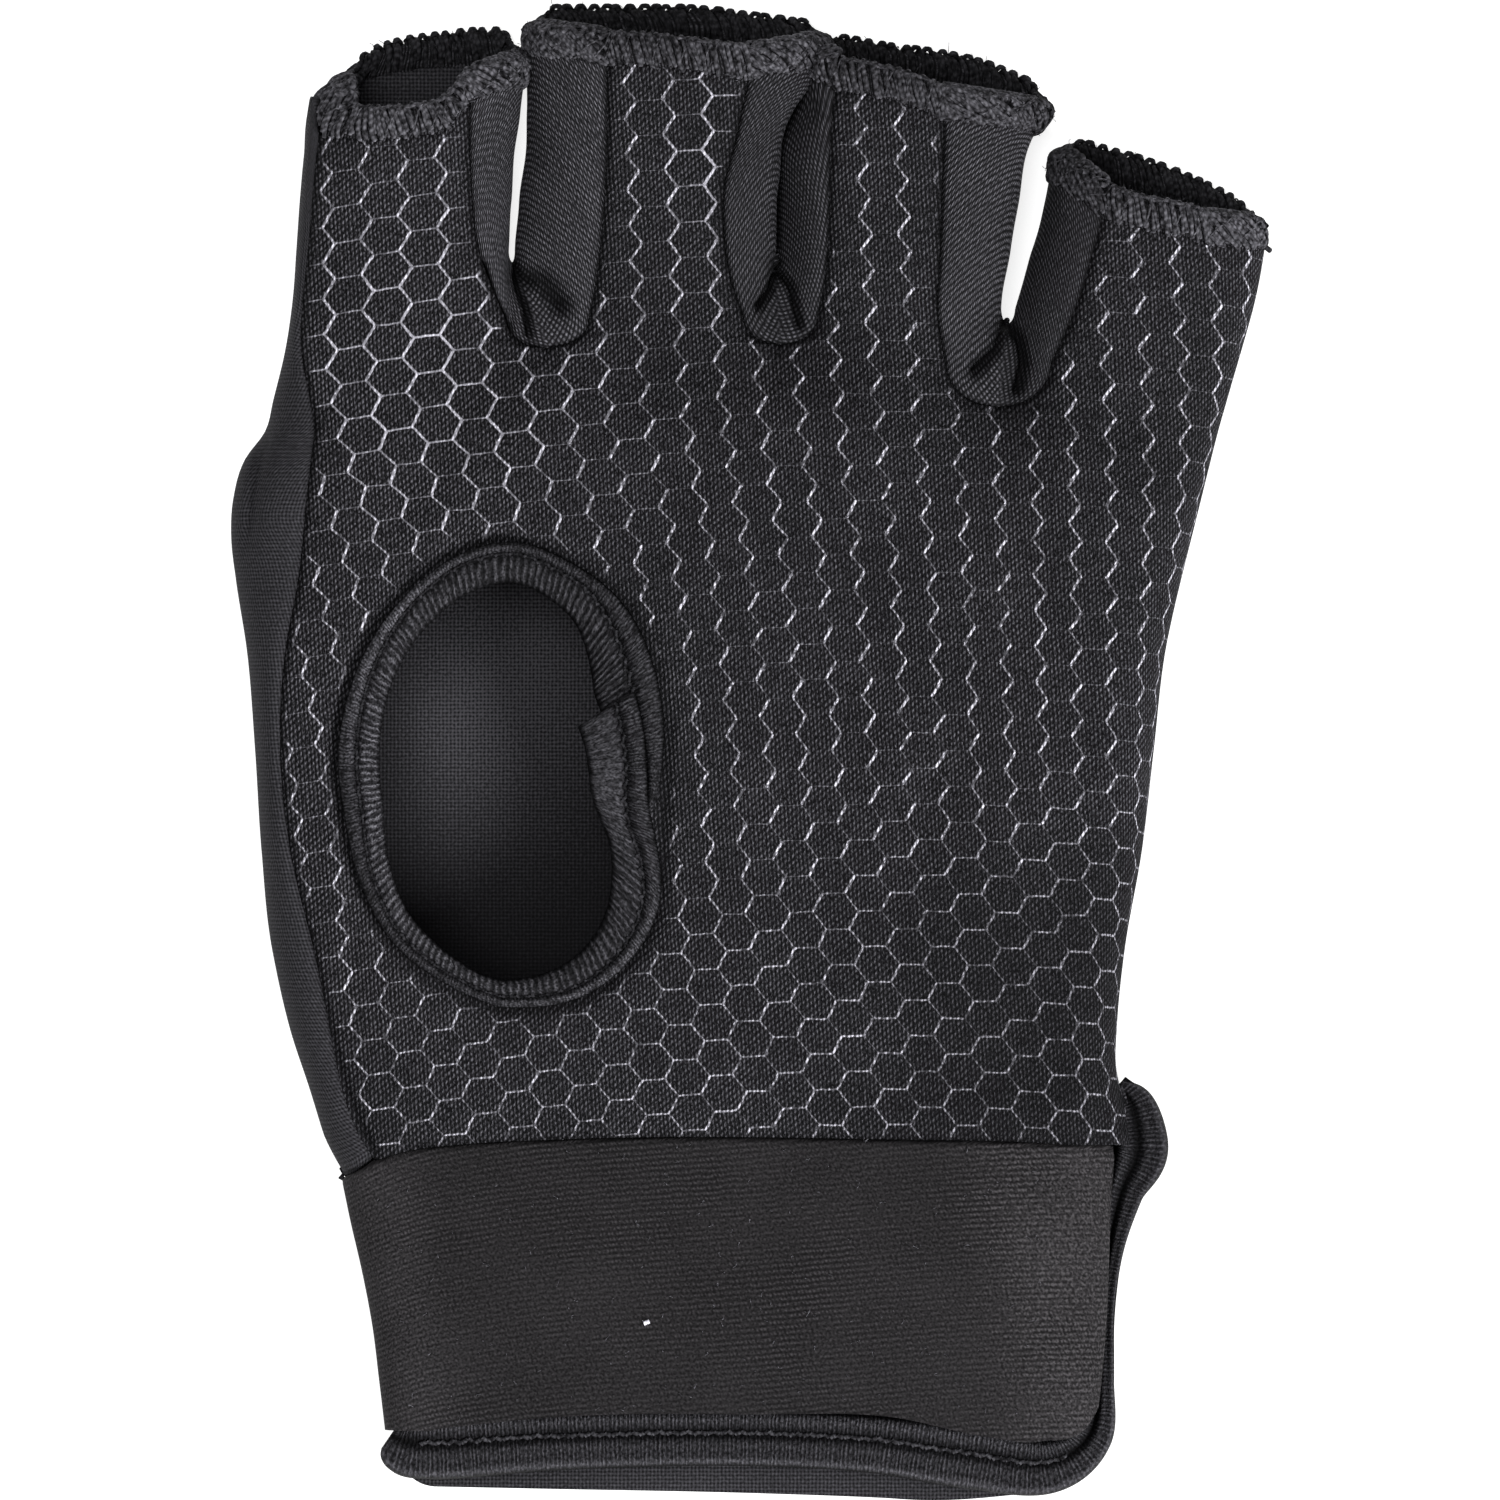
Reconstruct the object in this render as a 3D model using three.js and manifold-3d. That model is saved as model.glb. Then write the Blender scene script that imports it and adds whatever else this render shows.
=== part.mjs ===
// A left-hand, half-finger field hockey glove lying palm up on a flat surface, in millimetres. +X
// points to the little-finger side, +Y to the fingertips and +Z up. The back of the hand rests on Z =
// 0, and the origin is on that surface, under the middle of the glove's outline.
//
// The glove is a sleeve of cloth. In plan it has an outer outline, and three slits divide its top end
// into four finger sleeves. The palm panel is a crowned sheet over that plan. The back panel is the
// flat sheet under it, and its left margin wraps up the thumb side to the palm's seam. A gusset
// follows each slit round and closes the sides of two fingers. A thick overlocked hem ends each
// finger, a folded tape edges the oval thumb hole, and a ribbed cuff with a taped edge and a closure
// strap under it ends the wrist.

import * as THREE from "three";
import { mergeVertices } from "three/addons/utils/BufferGeometryUtils.js";
import Module from "manifold-3d";

// Walls, and the gap that two pieces keep where they are sewn together.
const PALM_WALL = 1.6;
const BACK_WALL = 2.0;
const GUSSET_WALL = 1.2;
const CUFF_WALL = 1.8;
const SEAM_GAP = 0.35;
const UNDER_GAP = 0.6; // wider under the gussets, whose walls lean there

// Facets: columns across a finger, rows along the hand and the fingers, and steps round a side.
const FINGER_COLUMNS = 5;
const HAND_ROWS = 11;
const FINGER_ROWS = 8;
const SIDE_STEPS = 7;
const ROW_CROWDING = 1.7; // finger rows crowd towards the crotch, where the slit is round

// The hand's outline: the widest points left and right, the palm's left seam, and the palm's crown
// height.
const OUTLINE = [
  { y: -44.0, left: -45.6, seam: -41.4, right: 41.4, crown: 14.6 },
  { y: -38.5, left: -47.7, seam: -43.5, right: 40.6, crown: 15.6 },
  { y: -33.0, left: -49.6, seam: -44.9, right: 40.3, crown: 16.4 },
  { y: -22.0, left: -52.4, seam: -47.4, right: 41.1, crown: 17.4 },
  { y: -11.0, left: -53.6, seam: -50.3, right: 43.0, crown: 18.2 },
  { y: 0.0, left: -54.3, seam: -51.3, right: 44.2, crown: 18.6 },
  { y: 11.0, left: -55.2, seam: -51.0, right: 45.6, crown: 18.6 },
  { y: 22.0, left: -56.8, seam: -49.0, right: 48.2, crown: 18.0 },
  { y: 27.5, left: -56.7, seam: -48.5, right: 49.5, crown: 17.5 },
  { y: 33.0, left: -54.2, seam: -48.0, right: 51.0, crown: 16.8 },
  { y: 38.5, left: -52.5, seam: -48.4, right: 52.4, crown: 15.9 },
  { y: 44.0, left: -51.0, seam: -48.9, right: 54.0, crown: 15.0 },
  { y: 49.5, left: -50.2, seam: -48.4, right: 55.5, crown: 14.2 },
  { y: 55.0, left: -49.7, seam: -47.8, right: 56.5, crown: 13.4 },
  { y: 66.0, left: -49.0, seam: -46.9, right: 56.8, crown: 12.6 },
  { y: 74.0, left: -47.4, seam: -45.6, right: 56.8, crown: 12.6 },
];
const CROWN_DROP = 0.24; // share of the crown that the palm has lost at its sides
const CROWN_POWER = 3;
const SHOULDER = 6.5; // from the right outline in to where the palm starts to turn down
const PALM_WRAP = 0.6; // how far round the right side the palm reaches, 0.5 being the widest point
const BACK_WRAP = 0.66; // and where the back panel takes over
const HAND_END = -44; // where both panels meet the cuff
const UNDER_INSET = 2.6; // from the outline in to where the underside lies flat
const SIDE_HEIGHT = 0.45; // height of the widest point, as a share of the height of the palm's edge

// Where the hand becomes fingers: a line across it through the bottoms of the slits.
const ROOT_LINE = [
  { x: -52.0, y: 41.0 },
  { x: -22.2, y: 44.0 },
  { x: 3.3, y: 44.4 },
  { x: 27.2, y: 37.6 },
  { x: 52.0, y: 33.0 },
];
const ROOT_BEFORE = 9; // the finger shape fades in from this far before the line
const ROOT_AFTER = 7; // to this far after it

// The slits. edge: the palm panel's own edges. side: the widest points of the two gussets.
const SLITS = [
  {
    name: "index_middle",
    crotch: { x: -22.2, bottom: 44.0, radius: 4.5, depth: 3.0 },
    rows: [
      { y: 47.0, leftEdge: -26.7, leftSide: -26.9, rightSide: -26.1, rightEdge: -17.7 },
      { y: 51.0, leftEdge: -28.4, leftSide: -26.7, rightSide: -25.8, rightEdge: -16.9 },
      { y: 55.0, leftEdge: -29.8, leftSide: -26.6, rightSide: -25.6, rightEdge: -16.4 },
      { y: 61.0, leftEdge: -30.5, leftSide: -26.3, rightSide: -25.2, rightEdge: -15.9 },
      { y: 68.0, leftEdge: -30.7, leftSide: -26.1, rightSide: -24.7, rightEdge: -15.7 },
      { y: 75.0, leftEdge: -30.5, leftSide: -25.8, rightSide: -24.7, rightEdge: -15.7 },
    ],
  },
  {
    name: "middle_ring",
    crotch: { x: 3.3, bottom: 44.4, radius: 4.1, depth: 3.2 },
    rows: [
      { y: 47.6, leftEdge: -0.8, leftSide: 2.7, rightSide: 3.7, rightEdge: 7.4 },
      { y: 51.0, leftEdge: -2.0, leftSide: 2.8, rightSide: 3.8, rightEdge: 8.1 },
      { y: 57.0, leftEdge: -2.9, leftSide: 3.0, rightSide: 4.0, rightEdge: 8.6 },
      { y: 62.0, leftEdge: -2.8, leftSide: 3.1, rightSide: 4.1, rightEdge: 8.7 },
      { y: 67.0, leftEdge: -1.5, leftSide: 3.6, rightSide: 4.6, rightEdge: 8.8 },
      { y: 73.0, leftEdge: -0.3, leftSide: 6.0, rightSide: 7.0, rightEdge: 9.3 },
      { y: 78.0, leftEdge: 0.0, leftSide: 7.6, rightSide: 8.6, rightEdge: 9.9 },
    ],
  },
  {
    name: "ring_little",
    crotch: { x: 27.2, bottom: 37.6, radius: 5.8, depth: 4.8 },
    rows: [
      { y: 42.4, leftEdge: 21.4, leftSide: 27.4, rightSide: 28.4, rightEdge: 33.0 },
      { y: 48.0, leftEdge: 20.5, leftSide: 27.7, rightSide: 28.8, rightEdge: 35.5 },
      { y: 54.0, leftEdge: 20.8, leftSide: 28.5, rightSide: 30.6, rightEdge: 37.4 },
      { y: 60.0, leftEdge: 21.0, leftSide: 29.4, rightSide: 32.5, rightEdge: 38.9 },
      { y: 67.0, leftEdge: 21.2, leftSide: 30.6, rightSide: 33.0, rightEdge: 39.4 },
      { y: 72.0, leftEdge: 21.2, leftSide: 32.4, rightSide: 33.4, rightEdge: 39.4 },
    ],
  },
];
const CROTCH_SIDE_RISE = 9.4; // the gusset slopes from the palm's crotch to a fold this far up the slit
const CROTCH_SIDE_DEPTH = 1.4;
const CROTCH_UNDER_DROP = 1.2; // and the underside's crotch lies this far below that fold
const CROTCH_UNDER_DEPTH = 2.6;

// The fingers: height of each sleeve, and how far its rim reaches at the palm and at the back, left
// and right.
const FINGERS = [
  { name: "index", x: -38.0, height: 13.0, palmRim: [71.8, 70.8], backRim: [76.6, 79.2] },
  { name: "middle", x: -8.0, height: 11.6, palmRim: [79.7, 77.8], backRim: [82.2, 80.8] },
  { name: "ring", x: 19.0, height: 11.0, palmRim: [75.4, 71.8], backRim: [78.4, 73.4] },
  { name: "little", x: 44.0, height: 11.4, palmRim: [64.8, 58.4], backRim: [66.6, 59.8] },
];
const FINGER_DROP = 0.22;
const FINGER_POWER = 2.4;
const HEM_LENGTH = 4.2;
const HEM_WALL = 1.7;
const HEM_PROUD = 0.5; // the overlock thread stands this far out from the cloth
const HEM_STEPS = 3;

// The oval thumb hole and the folded tape round it. Angles are in degrees, anticlockwise from +X.
const THUMB = { x: -27.15, y: -2.55, halfWidth: 17.95, halfLength: 25.25 };
const TAPE_WIDTHS = [
  { angle: -90, width: 3.0 },
  { angle: -30, width: 5.0 },
  { angle: 0, width: 6.6 },
  { angle: 30, width: 6.6 },
  { angle: 90, width: 3.9 },
  { angle: 180, width: 4.4 },
  { angle: 270, width: 3.0 },
];
const TAPE_STEPS = 40;
const LAP = { from: -38, to: 22, steps: 9, shift: 2.3, lift: 0.9 }; // the tape's end lies over its beginning
// The tape's section: inward from the outer edge (over 3 mm it stretches with the width) and height
// over the palm.
const TAPE_SECTION = [
  { inward: 0.2, height: -1.0 },
  { inward: 1.0, height: -1.4 },
  { inward: 3.6, height: -1.2 },
  { inward: 4.0, height: -0.6 },
  { inward: 3.7, height: 0.0 },
  { inward: 2.7, height: 0.2 },
  { inward: 2.0, height: 0.7 },
  { inward: 1.15, height: 1.1 },
  { inward: 0.3, height: 0.7 },
  { inward: 0.0, height: -0.3 },
];
const TAPE_SECTION_WIDTH = 4.0;
const CUT_DEPTH = 40; // the cutter for the hole reaches past the palm

// The cuff: a ribbed band, open along its right side, whose front is shorter than its back.
const CUFF_ROWS = [
  { y: -44.4, left: -44.6, right: 40.9, crown: 13.8, backRight: 39.6 },
  { y: -50.0, left: -43.8, right: 40.2, crown: 14.0, backRight: 38.6 },
  { y: -56.0, left: -42.6, right: 40.0, crown: 14.2, backRight: 37.5 },
  { y: -63.0, left: -41.4, right: 39.7, crown: 14.0, backRight: 36.7 },
  { y: -69.0, left: -40.7, right: 39.2, crown: 13.4, backRight: 36.0 },
  { y: -76.0, left: -39.9, right: 38.4, crown: 12.6, backRight: 34.6 },
];
const CUFF_TOP = -44.4;
const CUFF_FRONT_END = [
  { x: -40.0, end: -74.6 },
  { x: -33.0, end: -73.8 },
  { x: -20.0, end: -72.9 },
  { x: 0.0, end: -72.7 },
  { x: 16.0, end: -73.0 },
  { x: 27.0, end: -75.2 },
  { x: 33.5, end: -75.5 },
  { x: 37.0, end: -74.2 },
  { x: 39.4, end: -71.0 },
];
const CUFF_BACK_END = -72.0;
const CUFF_FLOOR = 1.8; // the back of the cuff lies on the strap
const CUFF_DROP = 0.2;
const CUFF_SHOULDER = 5.5; // from the outline in to where the front turns down
const CUFF_WRAP_LEFT = 0.62; // the front's left side ends here
const CUFF_BACK_WRAP = 0.71; // and the back's begins here
const CUFF_WRAP_RIGHT = 0.34; // the front's right edge is free and hardly turns down
const CUFF_COLUMNS = 12;
const CUFF_LENGTHS = 8;
const CUFF_STEPS = 6;

// The cuff's edge tape: its centre line and its width.
const EDGE_TAPE = [
  { x: -39.0, y: -76.4, z: 3.8, width: 4.0 },
  { x: -35.4, y: -76.6, z: 3.6, width: 6.6 },
  { x: -22.0, y: -75.9, z: 3.5, width: 7.0 },
  { x: -4.0, y: -75.7, z: 3.5, width: 7.0 },
  { x: 12.0, y: -76.6, z: 3.5, width: 6.8 },
  { x: 24.0, y: -78.0, z: 3.5, width: 6.6 },
  { x: 32.6, y: -78.3, z: 3.6, width: 5.6 },
  { x: 37.2, y: -75.2, z: 3.8, width: 4.4 },
  { x: 38.4, y: -69.0, z: 4.1, width: 3.4 },
  { x: 39.0, y: -62.0, z: 4.4, width: 3.2 },
  { x: 39.9, y: -55.0, z: 4.6, width: 3.4 },
  { x: 42.0, y: -48.6, z: 4.8, width: 4.0 },
  { x: 43.9, y: -43.0, z: 4.8, width: 4.0 },
  { x: 43.0, y: -37.8, z: 4.6, width: 3.4 },
];
const EDGE_TAPE_STEPS = 40;
const EDGE_TAPE_SECTION = [
  { across: -0.5, height: 0.0 },
  { across: -0.42, height: 1.3 },
  { across: -0.2, height: 1.6 },
  { across: 0.0, height: 1.0 },
  { across: 0.2, height: 1.6 },
  { across: 0.42, height: 1.3 },
  { across: 0.5, height: 0.0 },
  { across: 0.38, height: -1.3 },
  { across: -0.38, height: -1.3 },
];

// The closure strap under the back of the cuff.
const STRAP_THICK = 1.5;
const STRAP = { left: -38.6, right: 37.6, top: -44.6, corner: 4.0 };
const STRAP_END = [
  { x: -38.6, end: -80.9 },
  { x: -24.0, end: -81.2 },
  { x: 0.0, end: -81.7 },
  { x: 14.0, end: -82.3 },
  { x: 24.0, end: -82.4 },
  { x: 37.6, end: -81.0 },
];
const STRAP_COLUMNS = 16;

// Dents of the palm: place, direction of the length in degrees, half sizes and depth.
const DENTS = [
  { x: 8.0, y: -38.0, turn: 8, length: 30.0, width: 3.0, depth: 0.7 },
  { x: -34.0, y: -36.0, turn: -28, length: 12.0, width: 3.4, depth: 1.0 },
  { x: -36.0, y: 30.0, turn: 62, length: 12.0, width: 3.2, depth: 0.8 },
  { x: 12.0, y: 14.0, turn: 72, length: 24.0, width: 7.0, depth: 0.8 },
  { x: 33.0, y: 8.0, turn: 96, length: 22.0, width: 6.0, depth: 0.7 },
];

const COLOURS = {
  knit: { color: 0x27282b, roughness: 0.9 },
  jersey: { color: 0x222428, roughness: 0.92 },
  gusset: { color: 0x1d1e21, roughness: 0.72 },
  thread: { color: 0x161719, roughness: 0.95 },
  rib: { color: 0x201f1f, roughness: 0.85 },
  tape: { color: 0x25282d, roughness: 0.88 },
};

const lerp = (a, b, t) => a + (b - a) * t;
const clamp = (v, lo, hi) => Math.min(hi, Math.max(lo, v));
const radians = (degrees) => (degrees * Math.PI) / 180;
const v2 = (x, y) => new THREE.Vector2(x, y);
const smooth = (a, b, v) => {
  const t = clamp((v - a) / (b - a), 0, 1);
  return t * t * (3 - 2 * t);
};

// A column of a table at any place: a smooth curve through the rows, held at both ends.
function along(rows, key, column, at) {
  const last = rows.length - 1;
  const way = Math.sign(rows[last][key] - rows[0][key]);
  const place = (i) => rows[i][key] * way;
  const slope = (j) => {
    const a = Math.max(0, j - 1);
    const b = Math.min(last, j + 1);
    return (rows[b][column] - rows[a][column]) / (place(b) - place(a));
  };
  const p = clamp(at * way, place(0), place(last));
  let i = 0;
  while (i < last - 1 && p > place(i + 1)) i++;
  const step = place(i + 1) - place(i);
  const t = (p - place(i)) / step;
  const leave = slope(i) * step;
  const arrive = slope(i + 1) * step;
  const rise = rows[i + 1][column] - rows[i][column];
  const cubic = leave + arrive - 2 * rise;
  return rows[i][column] + t * (leave + t * (rise - leave - cubic + t * cubic));
}

const outline = (column, y) => along(OUTLINE, "y", column, y);
const rootLine = (x) => along(ROOT_LINE, "x", "y", x);

// The three levels of a finger's side: the palm's edge, the widest line and the seam underneath.
const LEVELS = { palm: 0, side: 0.5, under: 1 };

// The round bottom of a slit at one level.
function slitMouth(slit, level) {
  if (level === "palm") return slit.crotch;
  const bottom = slit.crotch.bottom + CROTCH_SIDE_RISE;
  const left = along(slit.rows, "y", "leftSide", bottom + CROTCH_SIDE_DEPTH);
  const right = along(slit.rows, "y", "rightSide", bottom + CROTCH_SIDE_DEPTH);
  const side = { x: (left + right) / 2, bottom, radius: (right - left) / 2, depth: CROTCH_SIDE_DEPTH };
  if (level === "side") return side;
  return {
    x: side.x,
    bottom: bottom - CROTCH_UNDER_DROP,
    radius: side.radius + UNDER_INSET,
    depth: CROTCH_UNDER_DEPTH,
  };
}

// One bank of a slit. gap moves it away from the slit, so that two pieces keep a gap there.
function slitBank(slit, level, bank, y, gap = 0) {
  const mouth = slitMouth(slit, level);
  const sign = bank === "left" ? -1 : 1;
  const roundTop = mouth.bottom + mouth.depth;
  if (y < roundTop) {
    const down = clamp((roundTop - y) / (mouth.depth + gap), 0, 1);
    return mouth.x + sign * (mouth.radius + gap) * Math.sqrt(1 - down * down);
  }
  const inset = level === "under" ? UNDER_INSET : 0;
  return along(slit.rows, "y", bank + (level === "palm" ? "Edge" : "Side"), y) + sign * (inset + gap);
}

// The hand's own two sides at one level.
function handSide(hand, level, y) {
  if (hand === "left") {
    const wide = outline("left", y);
    return { palm: outline("seam", y), side: wide, under: wide + UNDER_INSET }[level];
  }
  return outline("right", y) - { palm: SHOULDER, side: 0, under: UNDER_INSET }[level];
}

// How far a finger's sleeve reaches. across is 0 at its left and 1 at its right.
function rimAt(finger, across, level) {
  const palm = lerp(finger.palmRim[0], finger.palmRim[1], across);
  const back = lerp(finger.backRim[0], finger.backRim[1], across);
  return lerp(palm, back, LEVELS[level]);
}

// A finger's left or right edge at one level. Rows above 0 follow the finger, rows below 0 cross the
// hand.
function border(index, hand, level, row, gap = 0) {
  const left = hand === "left";
  const end = rimAt(FINGERS[index], left ? 0 : 1, level) - HEM_LENGTH - SEAM_GAP;
  const slit = left ? SLITS[index - 1] : SLITS[index];
  const start = slit ? slitMouth(slit, level).bottom - gap : rootLine(left ? -Infinity : Infinity);
  const share = row > 0 ? (row / FINGER_ROWS) ** ROW_CROWDING : -row / HAND_ROWS;
  const y = lerp(start, row > 0 ? end : HAND_END, share);
  if (!slit) return v2(handSide(hand, level, y) + (level === "palm" && left ? gap : 0), y);
  return v2(row > 0 ? slitBank(slit, level, left ? "right" : "left", y, gap) : slitMouth(slit, level).x, y);
}

// The palm's height over the surface: the hand's broad crown, a crown on each finger, and the dents.
function palmTop(x, y) {
  const left = outline("left", y);
  const right = outline("right", y);
  const across = clamp((2 * x - left - right) / (right - left), -1, 1);
  let height = outline("crown", y) * (1 - CROWN_DROP * Math.abs(across) ** CROWN_POWER);
  for (const dent of DENTS) {
    const place = v2(x - dent.x, y - dent.y).rotateAround(v2(0, 0), -radians(dent.turn));
    height -= dent.depth * Math.exp(-((place.x / dent.length) ** 2) - (place.y / dent.width) ** 2);
  }
  const root = rootLine(x);
  const share = smooth(root - ROOT_BEFORE, root + ROOT_AFTER, y);
  const side = (slit, bank) => along(slit.rows, "y", bank + "Side", y);
  const index = SLITS.filter((slit) => 2 * x > side(slit, "left") + side(slit, "right")).length;
  const from = index === 0 ? left : side(SLITS[index - 1], "right");
  const to = index === 3 ? right : side(SLITS[index], "left");
  const over = clamp((2 * x - from - to) / (to - from), -1, 1);
  const finger = along(FINGERS, "x", "height", x) * (1 - FINGER_DROP * Math.abs(over) ** FINGER_POWER);
  return lerp(height, finger, share);
}

// The cuff's front, between its own sides.
function cuffTop(x, y) {
  const left = along(CUFF_ROWS, "y", "left", y);
  const right = along(CUFF_ROWS, "y", "right", y);
  const across = clamp((2 * x - left - right) / (right - left), -1, 1);
  return along(CUFF_ROWS, "y", "crown", y) * (1 - CUFF_DROP * Math.abs(across) ** CROWN_POWER);
}

// A point of a side, which runs from the palm's edge (turn 0) over the widest line (0.5) to the
// underside (1).
function sidePoint(plan, turn, top = palmTop, floor = 0) {
  const [edge, side, under] = plan;
  const height = top(edge.x, edge.y);
  const wide = lerp(floor, height, SIDE_HEIGHT);
  if (turn >= 0.5) {
    const angle = (turn - 0.5) * Math.PI;
    const at = side.clone().lerp(under, 1 - Math.cos(angle));
    return new THREE.Vector3(at.x, at.y, lerp(wide, floor, Math.sin(angle)));
  }
  const reach = side.distanceTo(edge);
  const probe = edge.clone().lerp(side, -0.2 / reach);
  const slope = clamp((height - top(probe.x, probe.y)) / 0.2, -0.6, 0);
  const shoulder = new THREE.CubicBezierCurve(
    v2(0, height),
    v2(0.6 * reach, height + slope * 0.6 * reach),
    v2(reach, lerp(wide, height, 0.55)),
    v2(reach, wide),
  );
  const bend = shoulder.getPoint(turn * 2);
  const at = edge.clone().lerp(side, bend.x / reach);
  return new THREE.Vector3(at.x, at.y, bend.y);
}

// A solid's geometry from its points and triangles.
function geometryOf(points, triangles) {
  const positions = new Float32Array(triangles.flat().flatMap((corner) => points[corner].toArray()));
  const geometry = new THREE.BufferGeometry();
  geometry.setAttribute("position", new THREE.BufferAttribute(positions, 3));
  return mergeVertices(geometry, 1e-4);
}

// Quads of a grid of points, row after row. A closed grid joins its last column to its first.
function gridQuads(rows, columns, { start = 0, flip = false, closed = false } = {}) {
  const quads = [];
  for (let r = 0; r < rows - 1; r++) {
    for (let c = 0; c < columns - (closed ? 0 : 1); c++) {
      const d = (c + 1) % columns;
      const quad = [r * columns + c, r * columns + d, (r + 1) * columns + d, (r + 1) * columns + c];
      quads.push((flip ? quad.reverse() : quad).map((i) => start + i));
    }
  }
  return quads;
}

// A cloth wall: the outer skin's quads, anticlockwise from outside, and the same skin moved in by the
// wall. Points in upright have the wall straight under them, so that two pieces meet squarely at a
// seam.
function wallOf(points, quads, wall, upright = new Set()) {
  const places = new Map();
  const outer = [];
  const squared = [];
  const merged = points.map((point, i) => {
    const place = point.toArray().map((n) => Math.round(n * 1e4)).join();
    if (!places.has(place)) {
      places.set(place, outer.length);
      outer.push(point);
      squared.push(upright.has(i));
    }
    return places.get(place);
  });
  const faces = [];
  for (const quad of quads) {
    const [a, b, c, d] = quad.map((i) => merged[i]);
    if (a !== b && b !== c && a !== c) faces.push([a, b, c]);
    if (a !== c && c !== d && a !== d) faces.push([a, c, d]);
  }
  const normals = outer.map(() => new THREE.Vector3());
  const edges = new Set();
  for (const face of faces) {
    const [p, q, r] = face.map((i) => outer[i]);
    const normal = q.clone().sub(p).cross(r.clone().sub(p));
    face.forEach((i, j) => {
      normals[i].add(normal);
      edges.add(i + "," + face[(j + 1) % 3]);
    });
  }
  const inner = outer.map((point, i) => {
    const straight = new THREE.Vector3(0, 0, Math.sign(normals[i].z));
    const out = squared[i] ? straight : normals[i].normalize();
    return point.clone().addScaledVector(out, -wall);
  });
  const n = outer.length;
  const triangles = faces.flatMap(([a, b, c]) => [[a, b, c], [n + c, n + b, n + a]]);
  for (const edge of edges) {
    const [a, b] = edge.split(",").map(Number);
    if (!edges.has(b + "," + a)) triangles.push([a, n + a, b], [b, n + a, n + b]);
  }
  return geometryOf([...outer, ...inner], triangles);
}

// A solid swept through closed sections, either round in a ring or capped at both ends.
function swept(sections, ring) {
  const rows = ring ? [...sections, sections[0]] : sections;
  const columns = sections[0].length;
  const points = rows.flat();
  const quads = gridQuads(rows.length, columns, { closed: true });
  const triangles = quads.flatMap(([a, b, c, d]) => [[a, b, c], [a, c, d]]);
  const ends = ring ? [] : [0, rows.length - 1];
  for (const row of ends) {
    const middle = points.length;
    points.push(rows[row].reduce((sum, p) => sum.add(p), new THREE.Vector3()).divideScalar(columns));
    for (let c = 0; c < columns; c++) {
      const rim = [row * columns + c, row * columns + ((c + 1) % columns)];
      triangles.push(row === 0 ? [rim[1], rim[0], middle] : [rim[0], rim[1], middle]);
    }
  }
  return geometryOf(points, triangles);
}

const flatPoint = (x, y, top) => new THREE.Vector3(x, y, top(x, y));
const turnsBetween = (from, to, steps) =>
  Array.from({ length: steps + 1 }, (_, i) => lerp(from, to, i / steps));

// A whole panel: four strips, one under each finger, that share their borders below the slits.
// beside adds the points of a side at the left of the first strip or the right of the last.
function panel(level, gap, height, wall, flip, beside) {
  const points = [];
  const quads = [];
  const upright = new Set();
  FINGERS.forEach((finger, index) => {
    const start = points.length;
    let columns = 0;
    for (let row = -HAND_ROWS; row <= FINGER_ROWS; row++) {
      const left = border(index, "left", level, row, gap);
      const right = border(index, "right", level, row, gap);
      const line = turnsBetween(0, 1, FINGER_COLUMNS).map((t) => {
        const at = left.clone().lerp(right, t);
        return flatPoint(at.x, at.y, height);
      });
      const [before, after] = beside(index, row);
      columns = before.length + line.length + after.length;
      if (before.length || index > 0) upright.add(points.length);
      if (level === "palm" && index === 0) upright.add(points.length);
      if (row >= 0 && index < 3) upright.add(points.length + columns - 1);
      points.push(...before, ...line, ...after);
    }
    quads.push(...gridQuads(HAND_ROWS + FINGER_ROWS + 1, columns, { start, flip }));
  });
  return wallOf(points, quads, wall, upright);
}

const sidePlan = (index, hand, row) => Object.keys(LEVELS).map((level) => border(index, hand, level, row));

// The palm panel turns down at the right and reaches past its widest line.
function palmPanel() {
  return panel("palm", SEAM_GAP, palmTop, PALM_WALL, false, (index, row) => {
    if (index !== 3) return [[], []];
    const turns = turnsBetween(0, PALM_WRAP, SIDE_STEPS - 2).slice(1);
    return [[], turns.map((turn) => sidePoint(sidePlan(3, "right", row), turn))];
  });
}

// The back panel lies flat, wraps up the thumb side to the palm's seam, and turns up a little at the
// right.
function backPanel() {
  return panel("under", UNDER_GAP, () => 0, BACK_WALL, true, (index, row) => {
    if (index === 0) {
      const turns = turnsBetween(0, 1, SIDE_STEPS).slice(0, -1);
      return [turns.map((turn) => sidePoint(sidePlan(0, "left", row), turn)), []];
    }
    if (index !== 3) return [[], []];
    const turns = turnsBetween(1, BACK_WRAP, 3).slice(1);
    return [[], turns.map((turn) => sidePoint(sidePlan(3, "right", row), turn))];
  });
}

// A gusset follows its slit from the left finger's hem, round the crotch, to the right finger's hem.
function gusset(index) {
  const points = [];
  const upright = new Set();
  for (let row = -FINGER_ROWS; row <= FINGER_ROWS; row++) {
    const plan = row < 0 ? sidePlan(index, "right", -row) : sidePlan(index + 1, "left", row);
    upright.add(points.length).add(points.length + SIDE_STEPS);
    points.push(...turnsBetween(0, 1, SIDE_STEPS).map((turn) => sidePoint(plan, turn)));
  }
  const quads = gridQuads(2 * FINGER_ROWS + 1, SIDE_STEPS + 1, { flip: true });
  return wallOf(points, quads, GUSSET_WALL, upright);
}

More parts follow.
